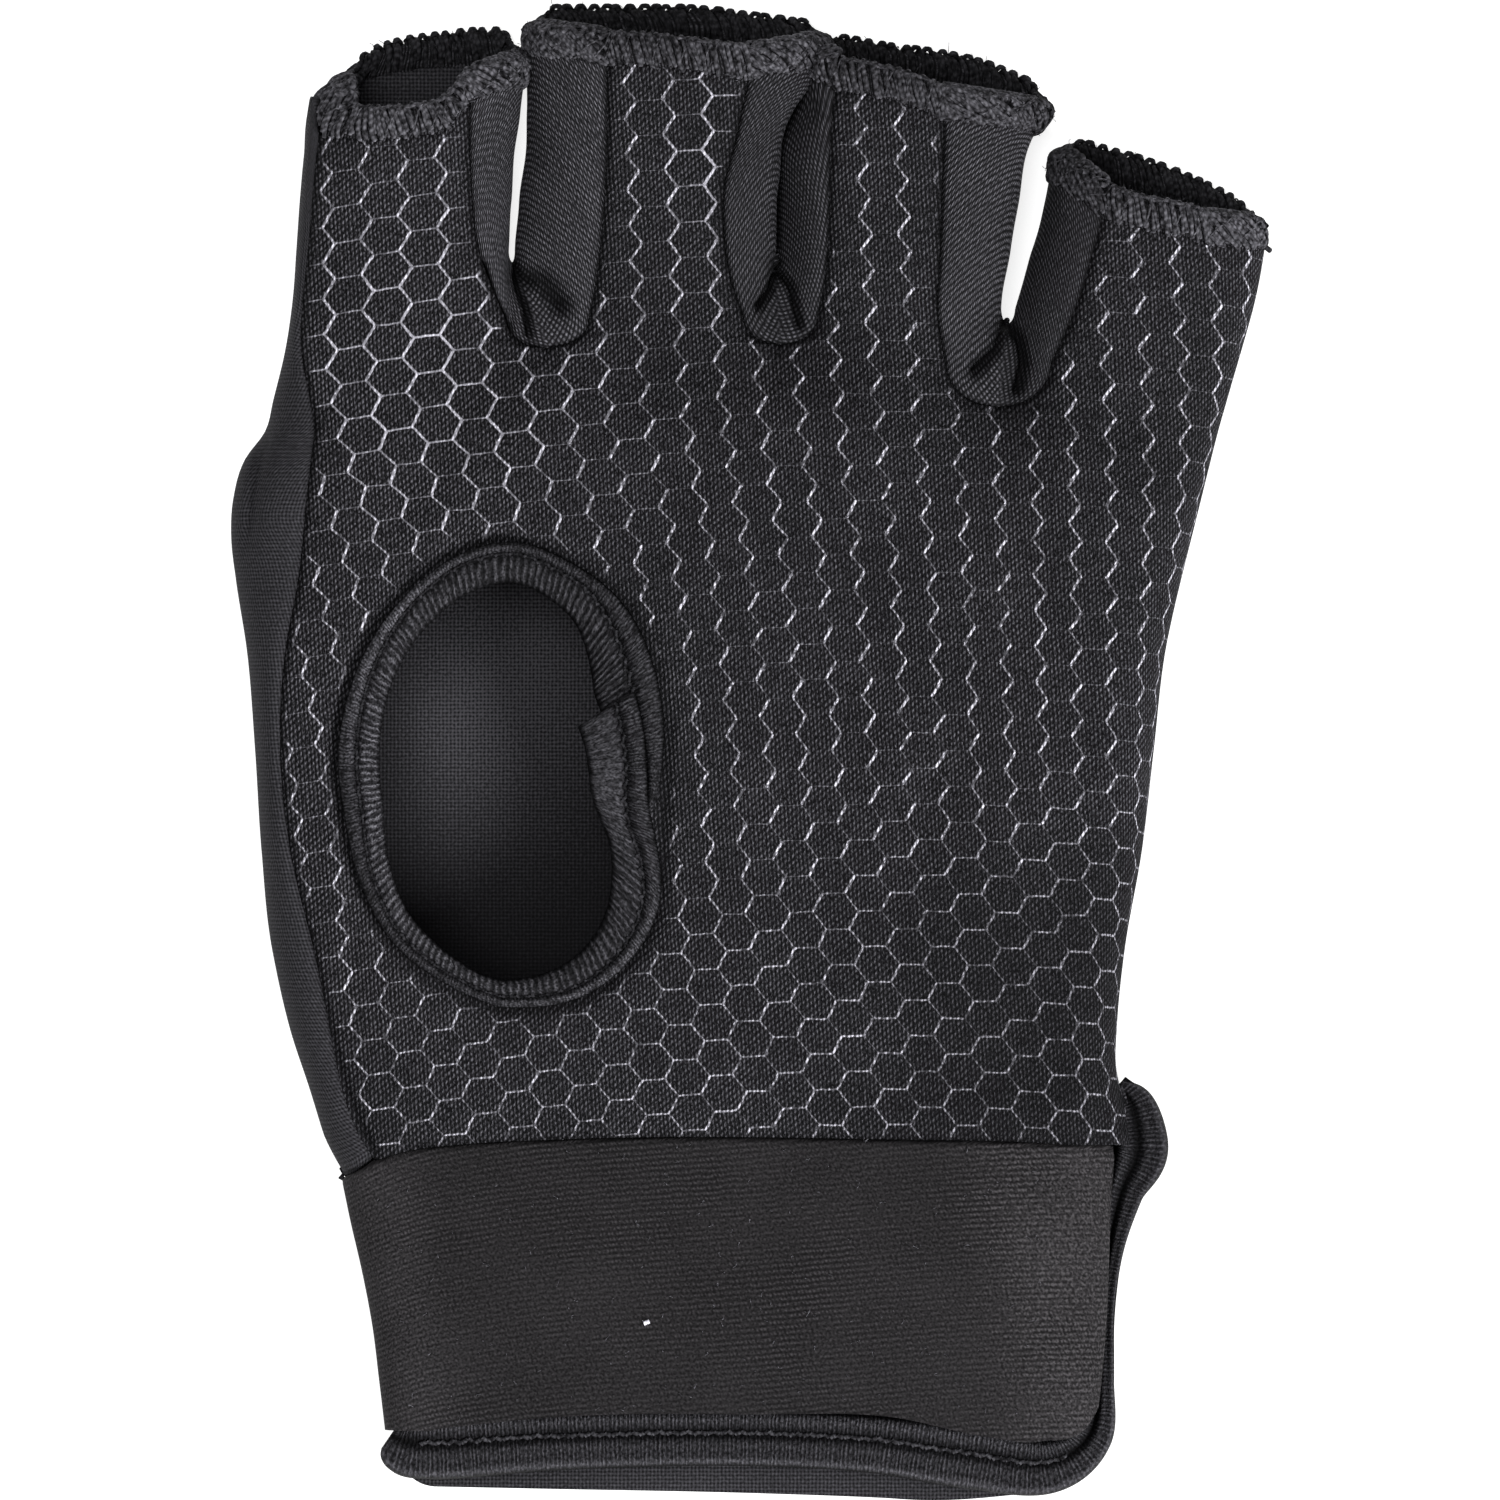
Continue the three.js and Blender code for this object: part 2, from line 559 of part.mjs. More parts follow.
// The closed section of a finger's hem, clockwise from its palm's left edge. ahead runs along the finger.
function hemLoop(index, ahead, proud) {
  const plan = (hand) =>
    Object.keys(LEVELS).map((level) => {
      const y = rimAt(FINGERS[index], hand === "left" ? 0 : 1, level) - HEM_LENGTH + ahead;
      const slit = hand === "left" ? SLITS[index - 1] : SLITS[index];
      const bank = hand === "left" ? "right" : "left";
      return v2(slit ? slitBank(slit, level, bank, y) : handSide(hand, level, y), y);
    });
  const left = plan("left");
  const right = plan("right");
  const across = turnsBetween(0, 1, FINGER_COLUMNS).slice(0, -1);
  const round = turnsBetween(0, 1, SIDE_STEPS).slice(0, -1);
  const flat = (from, to, t, top) => {
    const at = from.clone().lerp(to, t);
    return flatPoint(at.x, at.y, top);
  };
  const loop = [
    ...across.map((t) => flat(left[0], right[0], t, palmTop)),
    ...round.map((t) => sidePoint(right, t)),
    ...across.map((t) => flat(right[2], left[2], t, () => 0)),
    ...round.map((t) => sidePoint(left, 1 - t)),
  ];
  const forward = new THREE.Vector3(0, 1, 0);
  return loop.map((point, i) => {
    const next = loop[(i + 1) % loop.length];
    const before = loop[(i + loop.length - 1) % loop.length];
    const out = next.clone().sub(before).cross(forward).normalize();
    const moved = point.clone().addScaledVector(out, proud);
    moved.z = Math.max(0, moved.z);
    return moved;
  });
}

function hem(index) {
  const loops = turnsBetween(0, 1, HEM_STEPS).map((t) => {
    const bulge = Math.sin(Math.PI * t);
    return hemLoop(index, t * HEM_LENGTH, HEM_PROUD * bulge);
  });
  const quads = gridQuads(loops.length, loops[0].length, { closed: true });
  return wallOf(loops.flat(), quads, HEM_WALL);
}

// The thumb hole's outer line. inward moves a point of it towards the middle.
function thumbPoint(angle, inward) {
  const out = v2(THUMB.halfLength * Math.cos(radians(angle)), THUMB.halfWidth * Math.sin(radians(angle)));
  out.normalize().multiplyScalar(-inward);
  return v2(
    THUMB.x + THUMB.halfWidth * Math.cos(radians(angle)) + out.x,
    THUMB.y + THUMB.halfLength * Math.sin(radians(angle)) + out.y,
  );
}

function tapeSection(angle, shift, lift) {
  const width = along(TAPE_WIDTHS, "angle", "width", angle < -90 ? angle + 360 : angle);
  return TAPE_SECTION.map((corner) => {
    const stretch = corner.inward > 3 ? width - TAPE_SECTION_WIDTH : 0;
    const at = thumbPoint(angle, corner.inward + stretch + shift);
    return new THREE.Vector3(at.x, at.y, palmTop(at.x, at.y) + corner.height + lift);
  });
}

// The cuff's front with its left side, and the cuff's back, each a grid of rows from the hand to its end.
function cuffPlan(y) {
  const left = along(CUFF_ROWS, "y", "left", y);
  const right = along(CUFF_ROWS, "y", "right", y);
  return {
    left: [v2(left + CUFF_SHOULDER, y), v2(left, y), v2(left + UNDER_INSET, y)],
    right: [v2(right - CUFF_SHOULDER, y), v2(right, y), v2(right - UNDER_INSET, y)],
  };
}

function cuffFront() {
  const rows = turnsBetween(0, 1, CUFF_LENGTHS).map((t) => {
    const endOf = (x) => along(CUFF_FRONT_END, "x", "end", x);
    const rowAt = (x) => lerp(CUFF_TOP, endOf(x), t);
    const side = (hand, turn, x) => sidePoint(cuffPlan(rowAt(x))[hand], turn, cuffTop, CUFF_FLOOR);
    const wide = cuffPlan(rowAt(0));
    const [from, to] = [wide.left[0].x, wide.right[0].x];
    return [
      ...turnsBetween(CUFF_WRAP_LEFT, 0, CUFF_STEPS).slice(0, -1).map((t) => side("left", t, from)),
      ...turnsBetween(from, to, CUFF_COLUMNS).map((x) => flatPoint(x, rowAt(x), cuffTop)),
      ...turnsBetween(0, CUFF_WRAP_RIGHT, CUFF_STEPS).slice(1).map((turn) => {
        const near = side("right", turn, to);
        return side("right", turn, near.x);
      }),
    ];
  });
  const grid = [...rows].reverse();
  return wallOf(grid.flat(), gridQuads(grid.length, grid[0].length), CUFF_WALL);
}

function cuffBack() {
  const rows = turnsBetween(CUFF_BACK_END, CUFF_TOP, CUFF_LENGTHS).map((y) => {
    const plan = cuffPlan(y).left;
    const right = along(CUFF_ROWS, "y", "backRight", y);
    const turns = turnsBetween(CUFF_BACK_WRAP, 1, 3).slice(0, -1);
    return [
      ...turns.map((turn) => sidePoint(plan, turn, cuffTop, CUFF_FLOOR)),
      ...turnsBetween(plan[2].x, right, CUFF_COLUMNS).map((x) => flatPoint(x, y, () => CUFF_FLOOR)),
    ];
  });
  return wallOf(rows.flat(), gridQuads(rows.length, rows[0].length, { flip: true }), CUFF_WALL);
}

// The edge tape is swept along a smooth curve through its table.
function edgeTape() {
  const stations = EDGE_TAPE.map((row) => new THREE.Vector3(row.x, row.y, row.z));
  const line = new THREE.CatmullRomCurve3(stations, false, "centripetal");
  const widths = EDGE_TAPE.map((row, i) => ({ t: i / (EDGE_TAPE.length - 1), width: row.width }));
  const sections = turnsBetween(0, 1, EDGE_TAPE_STEPS).map((t) => {
    const width = along(widths, "t", "width", t);
    const middle = line.getPoint(t);
    const forward = line.getTangent(t);
    const side = new THREE.Vector3(forward.y, -forward.x, 0).normalize();
    return EDGE_TAPE_SECTION.map((corner) => {
      const at = middle.clone().addScaledVector(side, corner.across * width);
      at.z += corner.height;
      return at;
    });
  });
  return swept(sections, false);
}

// The strap is a flat sheet with two rounded corners at its end.
function strap() {
  const endOf = (x) => {
    const fromSide = Math.min(x - STRAP.left, STRAP.right - x, STRAP.corner);
    const flank = Math.max(0, STRAP.corner ** 2 - (STRAP.corner - fromSide) ** 2);
    const rounding = STRAP.corner - Math.sqrt(flank);
    return along(STRAP_END, "x", "end", x) + rounding;
  };
  const across = (x) => lerp(STRAP.left, STRAP.right, (1 - Math.cos(x * Math.PI)) / 2);
  const xs = turnsBetween(0, 1, STRAP_COLUMNS).map(across);
  const shape = new THREE.Shape([
    v2(STRAP.left, STRAP.top),
    ...xs.map((x) => v2(x, endOf(x))),
    v2(STRAP.right, STRAP.top),
  ]);
  return new THREE.ExtrudeGeometry(shape, { depth: STRAP_THICK, bevelEnabled: false });
}

// Joining and cutting.
const wasm = await Module();
wasm.setup();

function solid(geometry) {
  const plain = geometry.clone();
  plain.deleteAttribute("normal");
  plain.deleteAttribute("uv");
  const merged = mergeVertices(plain, 1e-4);
  return new wasm.Manifold(
    new wasm.Mesh({
      numProp: 3,
      vertProperties: new Float32Array(merged.attributes.position.array),
      triVerts: new Uint32Array(merged.index.array),
    }),
  );
}

function geometryFrom(body) {
  const mesh = body.getMesh();
  const geometry = new THREE.BufferGeometry();
  geometry.setAttribute("position", new THREE.BufferAttribute(new Float32Array(mesh.vertProperties), 3));
  geometry.setIndex(new THREE.BufferAttribute(new Uint32Array(mesh.triVerts), 1));
  return geometry;
}

function thumbCutter() {
  const angles = turnsBetween(0, 360, TAPE_STEPS).slice(0, -1);
  const hole = new THREE.Shape(angles.map((angle) => thumbPoint(angle, -SEAM_GAP)));
  return new THREE.ExtrudeGeometry(hole, { depth: CUT_DEPTH, bevelEnabled: false });
}

function thumbTape() {
  const angles = turnsBetween(-90, 270, TAPE_STEPS).slice(0, -1);
  const round = angles.map((angle) => tapeSection(angle, 0, 0));
  const lap = turnsBetween(LAP.from, LAP.to, LAP.steps).map((angle) => {
    const share = smooth(LAP.from, 0, angle);
    return tapeSection(angle, LAP.shift * share, LAP.lift * share);
  });
  return solid(swept(round, true)).add(solid(swept(lap, false)));
}

const pieces = [
  ["palm_panel", COLOURS.knit, geometryFrom(solid(palmPanel()).subtract(solid(thumbCutter())))],
  ["back_panel", COLOURS.jersey, backPanel()],
  ...SLITS.map((slit, i) => ["fourchette_" + slit.name, COLOURS.gusset, gusset(i)]),
  ...FINGERS.map((finger, i) => [finger.name + "_hem", COLOURS.thread, hem(i)]),
  ["thumb_binding", COLOURS.tape, geometryFrom(thumbTape())],
  ["cuff_front", COLOURS.rib, cuffFront()],
  ["cuff_back", COLOURS.rib, cuffBack()],
  ["cuff_binding", COLOURS.tape, edgeTape()],
  ["wrist_strap", COLOURS.jersey, strap()],
];

const glove = new THREE.Group();
glove.name = "field_hockey_glove";
for (const [name, look, geometry] of pieces) {
  geometry.computeVertexNormals();
  const mesh = new THREE.Mesh(geometry, new THREE.MeshStandardMaterial({ ...look, metalness: 0 }));
  mesh.name = name;
  glove.add(mesh);
}

export default glove;
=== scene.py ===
# %% [markdown]
# # A half-finger glove, sewn from flat cloth
#
# The real glove is a flat sleeve: a printed palm panel, a plain back panel under it, narrow gussets between
# the fingers, thick overlocked hems, a taped thumb hole and a ribbed cuff. All of it could be made by box
# modelling or by simulating cloth. Here every panel is a grid of points placed by a few formulas and short
# tables, because a thin knit lying at rest has gentle shapes, and because a grid carries the cloth's own
# coordinates, on which its weave and print are drawn.
#
# All tables and formulas are in millimetres; the one function that makes a mesh turns them into metres.

import bmesh
import bpy
import numpy as np
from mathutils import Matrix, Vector


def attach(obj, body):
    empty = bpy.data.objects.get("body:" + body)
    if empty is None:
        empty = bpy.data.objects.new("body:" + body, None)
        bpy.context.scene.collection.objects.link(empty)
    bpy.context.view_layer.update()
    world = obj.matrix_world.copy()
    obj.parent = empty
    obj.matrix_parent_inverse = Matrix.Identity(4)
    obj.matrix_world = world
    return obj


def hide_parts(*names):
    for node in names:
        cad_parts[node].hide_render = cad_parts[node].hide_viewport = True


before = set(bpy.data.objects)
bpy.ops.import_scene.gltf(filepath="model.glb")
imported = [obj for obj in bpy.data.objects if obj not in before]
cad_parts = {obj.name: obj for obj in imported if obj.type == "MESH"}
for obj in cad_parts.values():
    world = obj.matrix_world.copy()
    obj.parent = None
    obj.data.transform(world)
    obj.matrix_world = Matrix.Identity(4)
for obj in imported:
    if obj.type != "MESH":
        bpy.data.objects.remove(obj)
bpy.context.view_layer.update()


# %% [markdown]
# ## Tables that are read along a smooth curve
#
# A soft outline is easiest to keep as a few measured rows. A small class reads such a table at any place, on
# a cubic curve through the rows, for thousands of points at once. Two more helpers, an eased step and a
# repeatable soft noise, are enough for all of the glove's folds.


# %% Smooth tables, steps and soft noise
class Table:
    """Named columns of numbers. The first column, rising from row to row, is where the others are read."""

    def __init__(self, names, *rows):
        self.names = names.split()
        self.rows = np.array(rows, float)

    def at(self, name, where):
        x, y = self.rows[:, 0], self.rows[:, self.names.index(name)]
        where = np.clip(where, x[0], x[-1])
        slope = np.gradient(y, x)
        i = np.clip(np.searchsorted(x, where) - 1, 0, len(x) - 2)
        step = x[i + 1] - x[i]
        t = (where - x[i]) / step
        leave, arrive, rise = slope[i] * step, slope[i + 1] * step, y[i + 1] - y[i]
        cubic = leave + arrive - 2 * rise
        return y[i] + t * (leave + t * (rise - leave - cubic + t * cubic))


def lerp(a, b, t):
    return a + (b - a) * t


def eased(low, high, value):
    t = np.clip((value - low) / (high - low), 0, 1)
    return t * t * (3 - 2 * t)


def hump(value, width):
    return np.exp(-((value / width) ** 2))


def soft_noise(x, y, size, seed):
    """Smooth noise from -1 to 1 with bumps about size wide: random values on a lattice, eased between."""
    lattice = np.random.default_rng(seed).uniform(-1, 1, (64, 64))
    x, y = np.asarray(x) / size, np.asarray(y) / size
    i, j = np.floor(x).astype(int), np.floor(y).astype(int)
    s, t = eased(0, 1, x - i), eased(0, 1, y - j)
    low = lerp(lattice[i % 64, j % 64], lattice[(i + 1) % 64, j % 64], s)
    high = lerp(lattice[i % 64, (j + 1) % 64], lattice[(i + 1) % 64, (j + 1) % 64], s)
    return lerp(low, high, t)


print("an eased step, a quarter of the way along it:", eased(0, 4, 1))

# %% [markdown]
# ## The glove's outline
#
# Lying palm up, the glove is described from above. The hand's table gives its widest points left and right,
# the seam where the palm panel ends on the thumb side, and the height of the palm's crown. Each slit between
# two fingers has the palm panel's edges and the gussets' widest lines, and a round bottom. Each finger has
# its rim, which reaches further at the back than at the palm, so that the sleeves are seen to be open.

# %% Sizes and tables of the outline
HAND_END = -44.0  # where the panels meet the cuff
CUFF_SEAM = Table(  # how far the seam really lies from that line
    "x shift",
    (-46, -3.2),
    (-44, -2.5),
    (-41, -1.0),
    (-37, 0.2),
    (-32, 0.8),
    (-21, 1.4),
    (16, 1.4),
    (33, 0.9),
    (38, 0.4),
    (42, -1.0),
)
SHOULDER = 6.5  # from the right outline in to where the palm turns down
UNDER_INSET = 2.6  # from the outline in to where the underside lies flat
SIDE_HEIGHT = 0.45  # of the widest line, as a share of the palm's height
PALM_WRAP = 0.6  # how far round the right side the palm reaches
CROWN_DROP, CROWN_POWER = 0.24, 3
FINGER_DROP, FINGER_POWER = 0.22, 2.4
HEM = 3.0  # how far the overlocked edge reaches down each finger

OUTLINE = Table(
    "y left seam right crown",
    (-44.0, -45.4, -41.0, 41.9, 14.6),
    (-40.0, -46.6, -43.0, 41.2, 15.4),
    (-35.5, -48.2, -44.6, 40.2, 16.1),
    (-30.0, -50.4, -45.9, 40.3, 16.7),
    (-22.0, -52.4, -47.7, 41.1, 17.4),
    (-11.0, -53.6, -50.3, 43.0, 18.2),
    (0.0, -54.3, -51.4, 44.3, 18.6),
    (11.0, -55.2, -50.8, 45.6, 18.6),
    (18.7, -56.4, -49.4, 47.3, 18.2),
    (23.1, -56.9, -48.9, 48.4, 17.9),
    (27.5, -56.7, -48.5, 49.5, 17.5),
    (31.9, -55.4, -48.0, 50.6, 16.9),
    (35.0, -53.2, -47.7, 51.4, 16.5),
    (38.5, -52.3, -48.2, 52.4, 15.9),
    (44.0, -51.0, -49.2, 54.0, 15.0),
    (49.5, -50.2, -49.0, 55.5, 14.2),
    (55.0, -49.8, -48.4, 56.5, 13.4),
    (66.0, -49.0, -47.4, 56.9, 12.6),
    (71.5, -48.4, -46.6, 56.9, 12.6),
    (76.0, -46.0, -45.0, 56.9, 12.6),
)
ROOT_END = 52.0
ROOT_LINE = Table("x y", (-ROOT_END, 41.0), (-22.2, 44.0), (3.3, 44.4), (27.2, 37.6), (ROOT_END, 33.0))
ROOT_BEFORE, ROOT_AFTER = 9, 7  # the palm's crown turns into the fingers' from here to there

SLITS = {
    "index_middle": Table(
        "y left_edge left_side right_side right_edge",
        (47.0, -26.7, -26.9, -26.1, -17.7),
        (51.0, -28.4, -26.7, -25.8, -16.9),
        (55.0, -29.8, -26.6, -25.6, -16.4),
        (61.0, -30.5, -26.0, -25.4, -15.9),
        (68.0, -30.7, -25.4, -24.6, -15.7),
        (75.0, -30.5, -24.8, -24.3, -15.7),
    ),
    "middle_ring": Table(
        "y left_edge left_side right_side right_edge",
        (47.6, -0.8, 2.9, 2.1, 7.4),
        (51.0, -2.0, 3.0, 2.2, 8.1),
        (57.0, -2.9, 3.1, 2.3, 8.6),
        (62.0, -2.8, 3.2, 2.4, 8.7),
        (67.0, -1.5, 3.5, 2.7, 8.8),
        (70.0, -0.9, 4.9, 4.0, 9.0),
        (73.0, -0.3, 6.7, 5.8, 9.3),
        (78.0, 0.0, 8.3, 7.4, 9.9),
    ),
    "ring_little": Table(
        "y left_edge left_side right_side right_edge",
        (42.4, 21.4, 27.4, 28.4, 33.0),
        (48.0, 20.5, 27.7, 28.8, 35.5),
        (54.0, 20.8, 28.5, 30.6, 37.4),
        (60.0, 21.0, 29.4, 32.5, 38.9),
        (67.0, 21.2, 30.9, 33.4, 39.4),
        (72.0, 21.2, 33.2, 34.2, 39.4),
    ),
}
CROTCHES = {  # x, bottom, radius and depth of the palm panel's round slit bottoms
    "index_middle": (-22.2, 44.0, 4.5, 3.0),
    "middle_ring": (3.3, 44.4, 4.1, 3.2),
    "ring_little": (27.2, 37.6, 5.8, 4.8),
}
CROTCH_RISE, CROTCH_DEPTH = 9.4, 1.4  # the gusset slopes up to a fold this far into the slit
UNDER_DROP, UNDER_DEPTH = 1.2, 2.6

FINGERS = ("index", "middle", "ring", "little")
HEIGHTS = Table("x height", (-38.0, 13.0), (-8.0, 11.6), (19.0, 11.0), (44.0, 11.4))
RIM_PLACES = (0, 0.3, 0.6, 0.85, 1)  # shares of the finger's width, from its left to its right


def rim(palm, back):
    return Table("across palm back", *zip(RIM_PLACES, palm, back))


RIMS = {  # y of the rim at those places
    "index": rim((70.3, 69.9, 70.1, 71.2, 74.2), (76.2, 77.5, 78.2, 78.6, 78.6)),
    "middle": rim((78.3, 78.0, 77.5, 77.0, 76.7), (81.1, 81.1, 81.0, 80.1, 79.6)),
    "ring": rim((75.5, 74.9, 74.1, 73.1, 72.3), (77.8, 76.8, 75.9, 74.4, 73.0)),
    "little": rim((61.6, 60.4, 59.8, 59.2, 58.6), (66.3, 64.9, 63.1, 61.2, 60.0)),
}
RIM_SIDES = {"index": (73.8, 76.0), "middle": (79.4, 78.1), "ring": (77.0, 70.8), "little": (65.6, 58.1)}
LEVELS = ("palm", "side", "under")
print("rows of the outline:", len(OUTLINE.rows), "slits:", list(SLITS), "fingers:", list(FINGERS))

# %% [markdown]
# ## From the tables to lines on the glove
#
# A finger's side runs over three levels: the palm panel's edge, the widest line, and the seam underneath.
# `border` gives that line for either side of any finger. Its parameter runs from -1 at the cuff over 0 at the
# bottom of the slit to 1 at the hem, so that neighbouring panels made from it meet along their whole seam.


# %% Lines along the fingers
def slit_mouth(name, level):
    x, bottom, radius, depth = CROTCHES[name]
    if level == "palm":
        return x, bottom, radius, depth
    bottom += CROTCH_RISE
    left, right = (SLITS[name].at(c, bottom + CROTCH_DEPTH) for c in ("left_side", "right_side"))
    if level == "side":
        return (left + right) / 2, bottom, (right - left) / 2, CROTCH_DEPTH
    return (left + right) / 2, bottom - UNDER_DROP, (right - left) / 2 + UNDER_INSET, UNDER_DEPTH


def slit_bank(name, level, bank, y):
    x, bottom, radius, depth = slit_mouth(name, level)
    sign = -1 if bank == "left" else 1
    down = np.clip((bottom + depth - y) / depth, 0, 1)
    mouth = x + sign * radius * np.sqrt(1 - down**2)
    column = bank + ("_edge" if level == "palm" else "_side")
    higher = SLITS[name].at(column, y) + sign * (UNDER_INSET if level == "under" else 0)
    return np.where(y < bottom + depth, mouth, higher)


def hand_side(hand, level, y):
    if hand == "left":
        inset = {"palm": OUTLINE.at("seam", y) - OUTLINE.at("left", y), "side": 0, "under": UNDER_INSET}
        return OUTLINE.at("left", y) + inset[level]
    return OUTLINE.at("right", y) - {"palm": SHOULDER, "side": 0, "under": UNDER_INSET}[level]


def rim_at(finger, hand, level):
    if level == "side":
        return RIM_SIDES[finger][hand == "right"]
    return RIMS[finger].at("palm" if level == "palm" else "back", float(hand == "right"))


def slit_beside(finger, hand):
    place = FINGERS.index(finger) + (hand == "right")
    return [None, *SLITS, None][place]


def edge_x(finger, hand, level, y):
    """x of a finger's left or right side at one level, for any y above the slit's bottom."""
    slit = slit_beside(finger, hand)
    if slit is None:
        return hand_side(hand, level, y)
    return slit_bank(slit, level, "right" if hand == "left" else "left", y)


def border(finger, hand, level, way):
    """Points of a finger's side line; way is an array from -1, at the cuff, over 0 to 1, at the hem."""
    slit = slit_beside(finger, hand)
    start = slit_mouth(slit, level)[1] if slit else ROOT_LINE.at("y", -ROOT_END if hand == "left" else ROOT_END)
    end = rim_at(finger, hand, level) - HEM
    y = np.where(way > 0, lerp(start, end, np.abs(way) ** 1.6), lerp(start, HAND_END, -way))
    x = edge_x(finger, hand, level, y)
    if slit:
        x = np.where(way > 0, x, slit_mouth(slit, level)[0])
    return np.stack([x, y], -1)


def side_plan(finger, hand, way):
    return [border(finger, hand, level, way) for level in LEVELS]


thumb_side = border("index", "left", "side", np.array([-1.0, 0.0, 1.0]))
print("thumb side at the cuff, the finger's root and the hem:", thumb_side.round(1).tolist())

# %% [markdown]
# ## Heights and rounded sides
#
# The palm is a broad crown over the hand that turns into a crown on each finger. Dents and folds are soft
# humps laid on it, each a row of a table with its place, direction, size and depth. A side is a Bezier
# shoulder from the palm's edge down to the widest line and a quarter round from there to the underside.

# %% The palm's height, with its dents and folds
DENTS = Table(
    "x y turn length width depth",
    (8.0, -38.0, 8, 30.0, 3.0, 0.7),
    (-34.0, -36.0, -28, 12.0, 3.4, 1.0),
    (-36.0, 30.0, 62, 12.0, 3.2, 0.8),
    (12.0, 14.0, 72, 24.0, 7.0, 0.8),
    (33.0, 8.0, 96, 22.0, 6.0, 0.7),
    (-4.0, 28.0, 80, 14.0, 4.0, -0.5),
    (24.0, -16.0, 84, 20.0, 5.0, -0.5),
    (-46.0, -18.0, 78, 14.0, 2.2, -0.5),
    (41.0, 38.0, 64, 12.0, 3.0, 0.6),
    (-14.0, 38.0, 50, 8.0, 2.2, 0.5),
)


def palm_top(x, y):
    left, right = OUTLINE.at("left", y), OUTLINE.at("right", y)
    across = np.clip((2 * x - left - right) / (right - left), -1, 1)
    height = OUTLINE.at("crown", y) * (1 - CROWN_DROP * np.abs(across) ** CROWN_POWER)
    for dent_x, dent_y, turn, length, width, depth in DENTS.rows:
        c, s = np.cos(np.radians(turn)), np.sin(np.radians(turn))
        along_it, across_it = (x - dent_x) * c + (y - dent_y) * s, (y - dent_y) * c - (x - dent_x) * s
        height = height - depth * hump(along_it, length) * hump(across_it, width)
    root = ROOT_LINE.at("y", x)
    share = eased(root - ROOT_BEFORE, root + ROOT_AFTER, y)
    lefts = [left] + [t.at("right_side", y) for t in SLITS.values()]
    rights = [t.at("left_side", y) for t in SLITS.values()] + [right]
    index = sum((2 * x > a + b).astype(int) for a, b in zip(rights[:3], lefts[1:]))
    start, end = np.choose(index, lefts), np.choose(index, rights)
    over = np.clip((2 * x - start - end) / (end - start), -1, 1)
    finger = HEIGHTS.at("height", x) * (1 - FINGER_DROP * np.abs(over) ** FINGER_POWER)
    return lerp(height, finger, share) + 0.22 * soft_noise(x, y, 9, 5) + 0.1 * soft_noise(x, y, 4, 6)


def side_points(plan, turns, top=palm_top, floor=0.0, wide=SIDE_HEIGHT, full=0.55):
    """Rows of points over a rounded side. turns runs from 0, at the palm's edge, over 0.5 to 1, underneath.

    wide is the height of the widest line as a share of the whole, full how much the shoulder over it bulges.
    """
    edge, side, under = (line[:, None, :] for line in plan)
    turns = turns[None, :]
    height = top(edge[..., 0], edge[..., 1])
    wide = lerp(floor, height, wide)
    out = side - edge
    reach = np.linalg.norm(out, axis=-1)
    behind = edge - out * (0.5 / reach)[..., None]
    slope = np.clip((height - top(behind[..., 0], behind[..., 1])) / 0.5, -0.6, 0)
    t = np.clip(turns * 2, 0, 1)
    s = 1 - t
    first = 0.6 * reach
    run = 3 * s * s * t * first + (3 * s * t * t + t**3) * reach
    shoulder = (
        s**3 * height
        + 3 * s * s * t * (height + slope * first)
        + 3 * s * t * t * lerp(wide, height, full)
        + t**3 * wide
    )
    angle = np.clip(turns - 0.5, 0, 0.5) * np.pi
    plan_xy = edge + out * (run / reach)[..., None] + (under - side) * (1 - np.cos(angle))[..., None]
    z = np.where(turns < 0.5, shoulder, lerp(wide, floor, np.sin(angle)))
    return np.concatenate([plan_xy, np.broadcast_to(z[..., None], plan_xy.shape[:-1] + (1,))], -1)


print("height in the middle of the palm, mm:", palm_top(np.zeros(1), np.zeros(1)).round(1))

# %% [markdown]
# ## Making a mesh from grids
#
# Each panel is one or more grids of points. `make_piece` joins them into one mesh, welds the points they
# share, and stores the cloth coordinates of every point in a UV map. A Solidify modifier then gives the sheet
# its wall, which keeps the source grid simple and the thickness editable.


